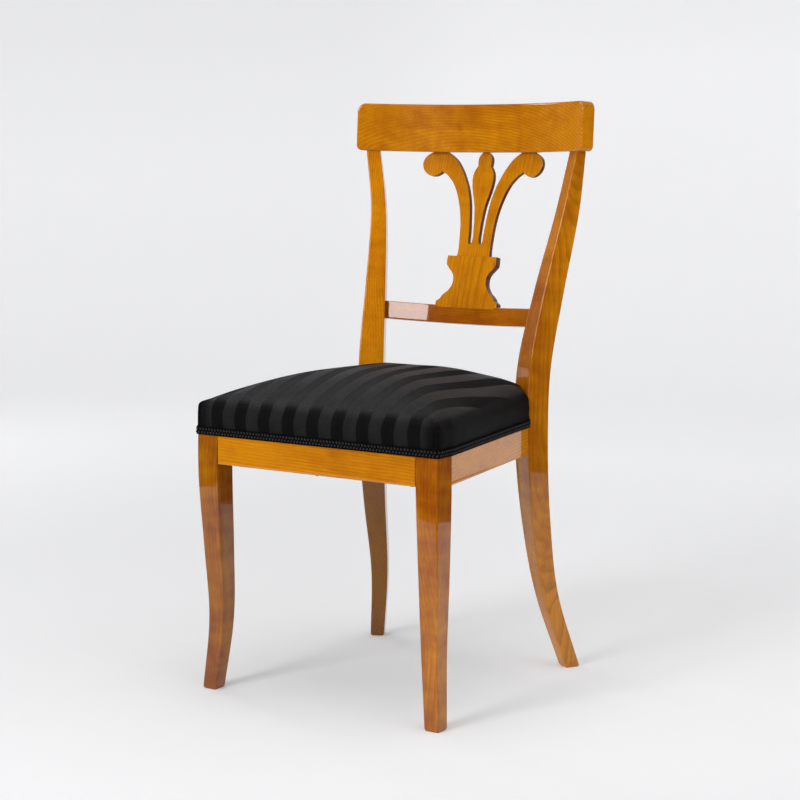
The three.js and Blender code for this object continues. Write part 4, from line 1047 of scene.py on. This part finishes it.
def unitBall():
    # Points and faces of a ball with its poles on the first axis: one pole, the belts, the other pole
    belts, sides = gimp["belts"], gimp["sides"]
    lat = np.linspace(0, math.pi, belts + 2)[1:-1, None]
    lon = fullTurn(sides)
    belt = np.stack([np.cos(lat) + 0 * lon, np.sin(lat) * np.cos(lon), np.sin(lat) * np.sin(lon)], -1)
    loops = gridNumbers(belts, sides, 1)
    last = belts * sides + 1
    faces = wallFaces(loops)
    faces += [[0, int(loops[0, k]), int(loops[0, k - 1])] for k in range(sides)]
    faces += [[last, int(loops[-1, k - 1]), int(loops[-1, k])] for k in range(sides)]
    return np.concatenate([[[1, 0, 0]], belt.reshape(-1, 3), [[-1, 0, 0]]]), faces


def gimpPiece(name, path, node):
    # Tape and cords are profiles carried along the path; a stitch is a small slanted ellipsoid set at
    # every pitch, the lower row leaning against the upper
    line, _, out = evenLine(path, gimp["spacing"])
    points, faces, used = [], [], 0
    turn = fullTurn(gimp["sides"])
    cord = np.stack([np.cos(turn), np.sin(turn)], -1) * gimp["cordRadius"]
    tape, lip = gimp["tape"], gimp["lip"]
    profiles = [np.array([[0, 0], [tape, lip], [tape, gimp["height"] - lip], [0, gimp["height"]]])]
    profiles += [cord + [tape + gimp["cordOut"], place] for place in gimp["cordPlaces"]]
    for profile in profiles:
        plan = line[:, None, :] + out[:, None, :] * profile[None, :, :1]
        points.append(raised(plan, gimp["bottom"] + profile[:, 1]).reshape(-1, 3))
        faces.extend(barFaces(gridNumbers(*plan.shape[:2], used)))
        used += len(points[-1])
    plainFaces = len(faces)
    spots, ways, outs = evenLine(path, gimp["pitch"])
    ball, ballFaces = unitBall()
    size = ball * gimp["stitch"]
    wobble = np.sin(np.arange(len(spots) - 1) * gimp["swayTurn"]) * gimp["sway"]
    for rowPlace, lean, shift in zip(gimp["rowPlaces"], (1, -1), (0.0, 0.5)):
        slant = math.radians(gimp["slant"]) * lean
        along = size[:, 0] * math.cos(slant) - size[:, 2] * math.sin(slant)
        rise = size[:, 0] * math.sin(slant) + size[:, 2] * math.cos(slant)
        base = spots[:-1] * (1 - shift) + spots[1:] * shift + ways[:-1] * wobble[:, None]
        plan = (base[:, None, :] + ways[:-1, None, :] * along[:, None]
                + outs[:-1, None, :] * (tape + gimp["stitchOut"] + size[:, 1:2]))
        height = gimp["bottom"] + rowPlace + wobble[:, None] * gimp["swayRise"] + rise
        points.append(raised(plan, height).reshape(-1, 3))
        for k in range(len(base)):
            faces.extend([[v + used + k * len(ball) for v in face] for face in ballFaces])
        used += len(base) * len(ball)
    mesh = meshFrom(name, np.concatenate(points), faces, 60)
    secondMaterial(mesh, plainFaces)
    linkPiece(name, mesh, [gimpTape, litStitchSilk], "braid", node)


gimpTape = braidSilk("blackTape", (0.0015, 0.0015, 0.0017), (0.006, 0.006, 0.0065), 0.03, 0.75)
# the stitches are the tape's black silk; their lighter colour is a painted highlight where the raised
# stitches catch the light
litStitchSilk = braidSilk("blackBraid", (0.006, 0.006, 0.007), (0.052, 0.052, 0.056), 0.18, 0.4)
gimpLine = seatRing(gimp["margin"])
rightLine = gimpLine[:(len(gimpLine) + 2) // 2]
kinkAt = int(np.argmin(np.abs(rightLine[:, 1] - seat["depth"]) + (rightLine[:, 0] < 100) * 1e3))
frontRun = gimpLine[:kinkAt + 1]
gimpPiece("gimpFront", np.concatenate([(frontRun * [-1, 1])[:0:-1], frontRun]), "gimp_front")
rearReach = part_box("gimp_rear")[1].x * 1000 - gimp["rearShort"]
rearLine = np.linspace(rearReach, -rearReach, gimp["rearPoints"])[:, None]
gimpPiece("gimpRear", raised(rearLine, cushion["back"] + gimp["margin"]), "gimp_rear")
print("gimp made")

# Under the seat: dust cover, hessian and webbing

lining = {
    "top": 349.5, "thickness": 0.8, "margin": 6.0, "clear": 0.5, "legHeight": 349.0, "sag": 1.6,
    "bowlFrom": 128, "bowlTaper": 0.05, "taperFrom": 200, "bowlRun": 60, "bowlMiddle": 192,
    "bowlHalf": 165, "bowlShare": 0.35, "dragPitch": 17, "dragAt": (12, 370), "dragRun": 26,
    "dragDepth": 0.12,
}
hessian = {"bottom": 429.2, "thickness": 1.1, "margin": 6.0, "clear": 0.6, "legHeight": 430.0}
stretched = {"edgeStep": 5, "fillStep": 6.0, "marginAtLeg": 0.9}
webbing = {
    "width": 50.0, "thickness": 1.4, "bottom": 425.35, "end": 4.0, "step": 6, "columns": 11,
    "arris": 0.5, "flats": (0.35, 0.65), "longSpacing": 68.0, "crossRise": 1.8, "crossRamp": 12.0,
    "crossFirst": 65.9, "crossLast": 300.0,
}


def underOutline(sheet):
    # Outline of a sheet under or over the rails, notched round the legs at its own height
    margin, height, clear = sheet["margin"], sheet["legHeight"], sheet["clear"]
    rearX, rearY, rearWidth, _ = oneAt(rearLegAt, height)
    frontCut, start = [], [seat["frontHalf"] - margin, margin]
    if height < seat["railTop"]:
        x, y, width, depth = oneAt(frontLegAt, height)
        legIn, legBack = x - width - clear, y + depth + clear
        frontCut = [[legIn, margin], [legIn, legBack]]
        start = [sideOutsideX(legBack) - margin / math.cos(sideAngle), legBack]
    outerIn = turned(rearX, rearY, margin * stretched["marginAtLeg"], -clear)
    innerFront = turned(rearX, rearY, rearWidth + clear, -clear)
    backY = railBack - margin
    innerBack = (innerFront[0] + (backY - innerFront[1]) * math.tan(legTurn), backY)
    right = np.array([*frontCut, start, outerIn, innerFront, innerBack])
    corners = np.concatenate([right, (right * [-1, 1])[::-1]])
    line = []
    for a, b in zip(corners, np.roll(corners, -1, 0)):
        steps = max(1, int(round(np.linalg.norm(b - a) / stretched["edgeStep"])))
        line.append(a + (b - a) * np.linspace(0, 1, steps + 1)[:-1, None])
    return np.concatenate(line)


def stretchedSheet(name, outline, put, thickness, material, slot, node):
    # A thin plate on a plan outline; its cloth coordinates are the plan itself
    layers = [(0.0, 0.0), (0.0, thickness * 0.5), (0.0, thickness)]
    mesh = plateMesh(name, outline, layers, put, stretched["fillStep"])
    places = pointsOf(mesh)
    setCloth(mesh, places[:, 0], places[:, 1])
    piece = linkPiece(name, mesh, [material], slot, node)


def dustPut(x, y, depth):
    # Between the rails the lining hangs a little: a flat bowl, with faint drag lines from the tacks
    bowlFrom = lining["bowlFrom"] - (y - lining["taperFrom"]) * lining["bowlTaper"]
    inX = portion(np.abs(x), bowlFrom, lining["bowlRun"])
    inY = portion(np.abs(y - lining["bowlMiddle"]), 0, lining["bowlHalf"])
    sag = np.clip(lining["sag"] * (1 - inX ** 2) * (1 - inY ** 4), 0, None) * lining["bowlShare"]
    fromTacks = np.minimum(*(np.abs(y - place) for place in lining["dragAt"]))
    drag = np.sin(x / lining["dragPitch"]) * np.exp(-fromTacks / lining["dragRun"]) * lining["dragDepth"]
    return np.stack([x, y, lining["top"] - depth - sag - np.abs(drag)], -1)


def hessianPut(x, y, depth):  # flat, on the webbing
    return np.stack([x, y, hessian["bottom"] + depth + 0 * x], -1)


stretchedSheet("dustCover", underOutline(lining), dustPut, lining["thickness"],
               wovenCloth("blackLining", (0.022, 0.022, 0.024), (0.006, 0.006, 0.007), 0.0009),
               "lining", "dust_cover")
stretchedSheet("hessianSheet", underOutline(hessian), hessianPut, hessian["thickness"],
               wovenCloth("hessian", (0.40, 0.27, 0.13), (0.16, 0.095, 0.04), 0.0021),
               "jute", "hessian")


def strapPiece(name, length, put, node):
    # A flat strap: a grid across and along, both faces and edges, laid in place by put. The grid's
    # own places are its cloth coordinates.
    width, thick = webbing["width"], webbing["thickness"]
    across = np.linspace(-width / 2, width / 2, webbing["columns"])
    along = np.linspace(-length / 2, length / 2, int(length / webbing["step"]))
    flat = []

    def face(inset):  # grid over the strap, its edge drawn in by the inset
        return np.stack(np.meshgrid(np.clip(across, across[0] + inset, across[-1] - inset),
                                    np.clip(along, along[0] + inset, along[-1] - inset), indexing="ij"), -1)

    def keep(a, b, depth):  # notes the flat place of each point, then lays it in space
        flat.append(np.stack([a, b], -1) * 0.001)
        return np.stack(put(a, b, depth), -1)

    arris, (low, high) = webbing["arris"], webbing["flats"]
    layers = [(arris, 0.0), (0.0, thick * low), (0.0, thick * high), (arris, thick)]
    mesh = slabMesh(name, face, layers, keep)
    setCloth(mesh, *np.concatenate(flat).T)
    piece = linkPiece(name, mesh, [strapJute], "jute", node)
    length * 0.001


strapJute = wovenCloth("juteWebbing", (0.44, 0.31, 0.16), (0.20, 0.12, 0.05), 0.0016,
                       {"place": 0.019, "half": 0.0014, "edge": 0.0006, "colour": (0.035, 0.03, 0.03)})
for k in range(3):
    def longPut(a, b, depth):  # flat, from front to back
        x = (k - 1) * webbing["longSpacing"] + a
        return x, railBack / 2 + b, webbing["bottom"] + depth + 0 * a

    strapPiece("webbingLong%d" % (k + 1), railBack - 2 * webbing["end"], longPut,
               "webbing_long_%d" % (k + 1))
for k in range(4):
    strapY = webbing["crossFirst"] + (webbing["crossLast"] - webbing["crossFirst"]) * k / 3
    halfSpan = sideOutsideX(strapY + webbing["width"] / 2) - webbing["end"]

    def crossPut(a, b, depth):  # climbs from the rail's inner face to lie over the long straps
        climb = portion(-np.abs(b), seat["railThickness"] - halfSpan, webbing["crossRamp"])
        return b, strapY - a, webbing["bottom"] + webbing["crossRise"] * climb + depth

    strapPiece("webbingCross%d" % (k + 1), 2 * halfSpan, crossPut,
               "webbing_cross_%d" % (k + 1))
print("webbing, hessian and dust cover made")

# Tacks of the dust cover: domed heads on tapering shanks

tack = {
    "headRadius": 3.6, "headHeight": 1.3, "tipRadius": 0.15, "sides": 20, "count": 14, "domeSteps": 5,
    "shank": [[0.05, 9.0], [0.81, 6.0], [0.9, 0.2], [3.6, 0.15]],
}


def blued(name):
    # Two dark blues mixed by noise, roughened by fine scratches
    sheet = Sheet(name)
    here = sheet.place()
    scratch = sheet.noise(here, (900, 900, 300), 3.0)
    colour = sheet.mix(sheet.noise(here, (220, 220, 220)), (0.05, 0.058, 0.075), (0.13, 0.135, 0.15))
    return sheet.finish({"Base Color": colour, "Metallic": 0.95, "Roughness": 0.3 + scratch * 0.25},
                        scratch, 0.00002, 0.5)


def tacksPiece():
    # One profile turned about the tack's line and set at every tack's own place, point down
    tall = quarterTurn(tack["domeSteps"])[:-1]
    dome = np.stack([tack["headRadius"] * np.cos(tall), -tack["headHeight"] * np.sin(tall)], -1)
    profile = np.concatenate([tack["shank"], dome, [[tack["tipRadius"], -tack["headHeight"]]]])
    turn = fullTurn(tack["sides"])
    plan = profile[:, :1, None] * np.stack([np.cos(turn), np.sin(turn)], -1)
    one = raised(plan, profile[:, 1:])
    names = ["dust_tack_%d" % k for k in range(1, tack["count"] + 1)]
    points, faces = [], []
    for k, node in enumerate(names):
        low, high = (np.array(corner) * 1000 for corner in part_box(node))
        middle = (low + high) / 2
        seatAt = np.array([middle[0], middle[1], low[2] + tack["headHeight"]]) - rowShift
        points.append(one.reshape(-1, 3) + seatAt)
        faces += barFaces(gridNumbers(*one.shape[:2], k * one.shape[0] * one.shape[1]))
    linkPiece("dustTacks", meshFrom("dustTacks", np.concatenate(points), faces, 50), [blueSteel],
              "blue_steel", *names)


blueSteel = blued("bluedSteel")
tacksPiece()


def paleWood(name):
    # Softwood of the corner blocks: wide straight rings and darker late wood
    sheet = Sheet(name)
    here = sheet.place((0.3, 0.2, 0.1), (4, 3, 0))
    x, y, _ = sheet.parts(here)
    ring = ((x * x + y * y).root() + (sheet.noise(here, (20, 20, 5)) - 0.5) * 0.004) / 0.0032
    late = ring.fraction().ramp(0.4, 0.95)
    fibres = sheet.noise(here, (1200, 1200, 40))
    colour = sheet.mix(late * 0.7, (0.52, 0.34, 0.15), (0.30, 0.16, 0.06))
    return sheet.finish({
        "Base Color": sheet.shaded(colour, fibres.ramp(0.2, 0.8, 0.85, 1.08)),
        "Roughness": 0.62 + fibres * 0.2,
    }, fibres * 0.6 - late * 0.3, 0.00008, 0.6)


fastenings = {
    "corner_block": paleWood("paleBlockWood"), "screw": blueSteel,
    "dowel": cherryWood("cherryDowels", (0, 0, 0), (0, 0, 0), 0.0, 0.002, 0.4, 0.4, seed=2.0),
}
for nodeName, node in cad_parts.items():
    finish = next((wood for part, wood in fastenings.items() if part in nodeName), None)
    if finish:
        node.data.materials.clear()
        node.data.materials.append(finish)
print("fastenings made")

# Studio: a pale sweep that rises all round, soft lights, and a dark room that only reflections see

studio = {
    "radius": 5.2, "bend": 1.6, "wall": 3.6, "paper": (0.84, 0.84, 0.845), "dark": (0.02, 0.02, 0.022),
    "grey": (0.2, 0.2, 0.21), "paperHalf": 1.23, "paperFront": -0.70, "panelRise": 0.004, "reach": 4.8,
    "roomHeight": 5.5, "roomRadius": 4.9, "rightRadius": 3.62, "turns": 97, "roomTurns": 60,
    "air": (0.96, 0.975, 1.0), "airStrength": 0.36, "glow": 0.25, "glowFrom": 1.0, "glowTo": 3.1,
    "hole": 0.00001, "flatRings": 12, "bendRings": 13, "aimHeight": 0.5,
}


def stageMesh(name, points, material, reflected=False):
    # Part of the studio; a reflected one is seen by reflections only
    mesh = bpy.data.meshes.new(name)
    mesh.from_pydata(points.reshape(-1, 3).tolist(), [], sheetFaces(gridNumbers(*points.shape[:2])))
    mesh.polygons.foreach_set("use_smooth", np.ones(len(mesh.polygons), bool))
    mesh.materials.append(material)
    thing = linked(name, mesh)
    if reflected:
        for ray in ("camera", "diffuse", "shadow", "transmission", "volume_scatter"):
            setattr(thing, "visible_" + ray, False)


def plainPaper(name, colour, roughness, glow=0.0):
    # Plain paper; with a glow it gives off painted light, a little more away from the chair, beside it on
    # its right and before it, and less high up the wall, which lifts the floor's shadows
    sheet = Sheet(name)
    here = sheet.place()
    tone = sheet.mix(sheet.noise(here, (0.6, 0.6, 0.6)), tuple(c * 0.985 for c in colour), colour)
    values = {"Base Color": tone, "Roughness": roughness, "Specular IOR Level": 0.05}
    if glow:
        x, y, z = sheet.parts(here)
        reach = (x * x + y * y).root().ramp(studio["glowFrom"], studio["glowTo"], 0.36, 0.95)
        beside = (x * 0.83 + y * 0.56).ramp(-0.3, 0.5, 0.0, 0.3) * (y * 0.83 - x * 0.56).ramp(-0.9, -0.2)
        before = (x * 0.56 - y * 0.83).ramp(0.0, 0.55, 0.0, 0.12)
        share = (reach + beside + before) * z.ramp(0.6, 1.6, 1.0, 0.6)
        # painted light: the paper glows, more where the floor should read brighter
        values["Emission Color"] = sheet.mix(share.maths("MINIMUM", 1.0), (0, 0, 0), (1, 0.995, 1.0))
        values["Emission Strength"] = glow
    return sheet.finish(values)


def arcPlan(radius, turns):  # places in plan at a radius and a bearing from the front
    return np.stack([radius * np.sin(turns), -radius * np.cos(turns)], -1)


def paperSweep():
    # Flat disc, then a quarter circle, then a wall: distance and height along one profile, turned round
    radius, bend = studio["radius"], studio["bend"]
    flat, turn, rings = radius - bend, quarterTurn(studio["bendRings"])[1:], studio["flatRings"]
    reach = np.concatenate([np.linspace(studio["hole"], flat, rings), flat + bend * np.sin(turn), [radius]])
    rise = np.concatenate([np.zeros(rings), bend * (1 - np.cos(turn)), [studio["wall"]]])
    plan = arcPlan(reach[:, None], np.linspace(0, 2 * math.pi, studio["turns"]))
    return raised(plan, rise[:, None])


def floorPanel(name, across, depth):
    # Flat panel a hair over the floor, given in the camera's own sideways and forward distances
    turn = math.radians(camera["turn"][2])
    ahead = np.array([-math.sin(turn), math.cos(turn)])
    aside = np.array([math.cos(turn), math.sin(turn)])
    u, v = np.meshgrid(np.array(across), np.array(depth), indexing="ij")
    plan = u[..., None] * aside + v[..., None] * ahead
    stageMesh(name, raised(plan, studio["panelRise"]), darkRoom, True)


def roomWall(name, radius, start, end, material):
    # Upright wall on an arc round the chair, between two bearings
    plan = arcPlan(radius, np.radians(np.linspace(start, end, studio["roomTurns"])))
    rows = [raised(plan, height) for height in (0.0, studio["roomHeight"])]
    stageMesh(name, np.stack(rows), material, True)


darkRoom = plainPaper("darkRoom", studio["dark"], 1.0)
stageMesh("studioSweep", paperSweep(), plainPaper("palePaper", studio["paper"], 0.9, studio["glow"]))
floorPanel("darkFloorFront", (-studio["reach"], studio["reach"]), (-studio["reach"], studio["paperFront"]))
floorPanel("darkFloorRight", (studio["paperHalf"], studio["reach"]), (studio["paperFront"], 1.1))
floorPanel("darkFloorLeft", (-studio["reach"], -studio["paperHalf"] - 0.3), (studio["paperFront"], 1.2))
roomWall("darkWall", studio["roomRadius"], -84, 60, darkRoom)
roomWall("darkWallRight", studio["rightRadius"], 58, 128, darkRoom)
roomWall("greyWallLeft", studio["roomRadius"], -125, -84, plainPaper("greyRoom", studio["grey"], 1.0))


def softbox(name, azimuth, elevation, distance, size, watts, glossy=True, diffuse=True):
    # Rectangular light at a bearing from the chair: azimuth 0 is in front, positive to its right
    data = bpy.data.lights.new(name, "AREA")
    data.shape = "RECTANGLE"
    data.size, data.size_y = size
    data.energy = watts
    light = linked(name, data)
    a, e, aim = math.radians(azimuth), math.radians(elevation), Vector((0, 0, studio["aimHeight"]))
    way = Vector((math.sin(a) * math.cos(e), -math.cos(a) * math.cos(e), math.sin(e)))
    light.location = way * distance + aim
    light.rotation_euler = (-way).to_track_quat("-Z", "Y").to_euler()
    light.visible_camera = False
    light.visible_glossy = glossy
    light.visible_diffuse = diffuse


softbox("keySoftbox", -9, 24.5, 4.4, (1.25, 1.68), 73)
softbox("fillSoftbox", 80, 42, 3.4, (1.6, 1.6), 8, glossy=False)
softbox("topSoftbox", 10, 80, 3.2, (2.8, 2.4), 30, glossy=False)
softbox("leftSoftbox", -105, 18, 3.3, (0.5, 1.6), 8)
softbox("edgeStrip", -74, 30, 3.6, (0.35, 2.0), 34, diffuse=False)

air = bpy.data.worlds.new("studioAir")
air.use_nodes = True
background = air.node_tree.nodes["Background"]
background.inputs[0].default_value = (*studio["air"], 1)
background.inputs[1].default_value = studio["airStrength"]
bpy.context.scene.world = air
bpy.context.scene.view_settings.view_transform = "Standard"
print("studio made")
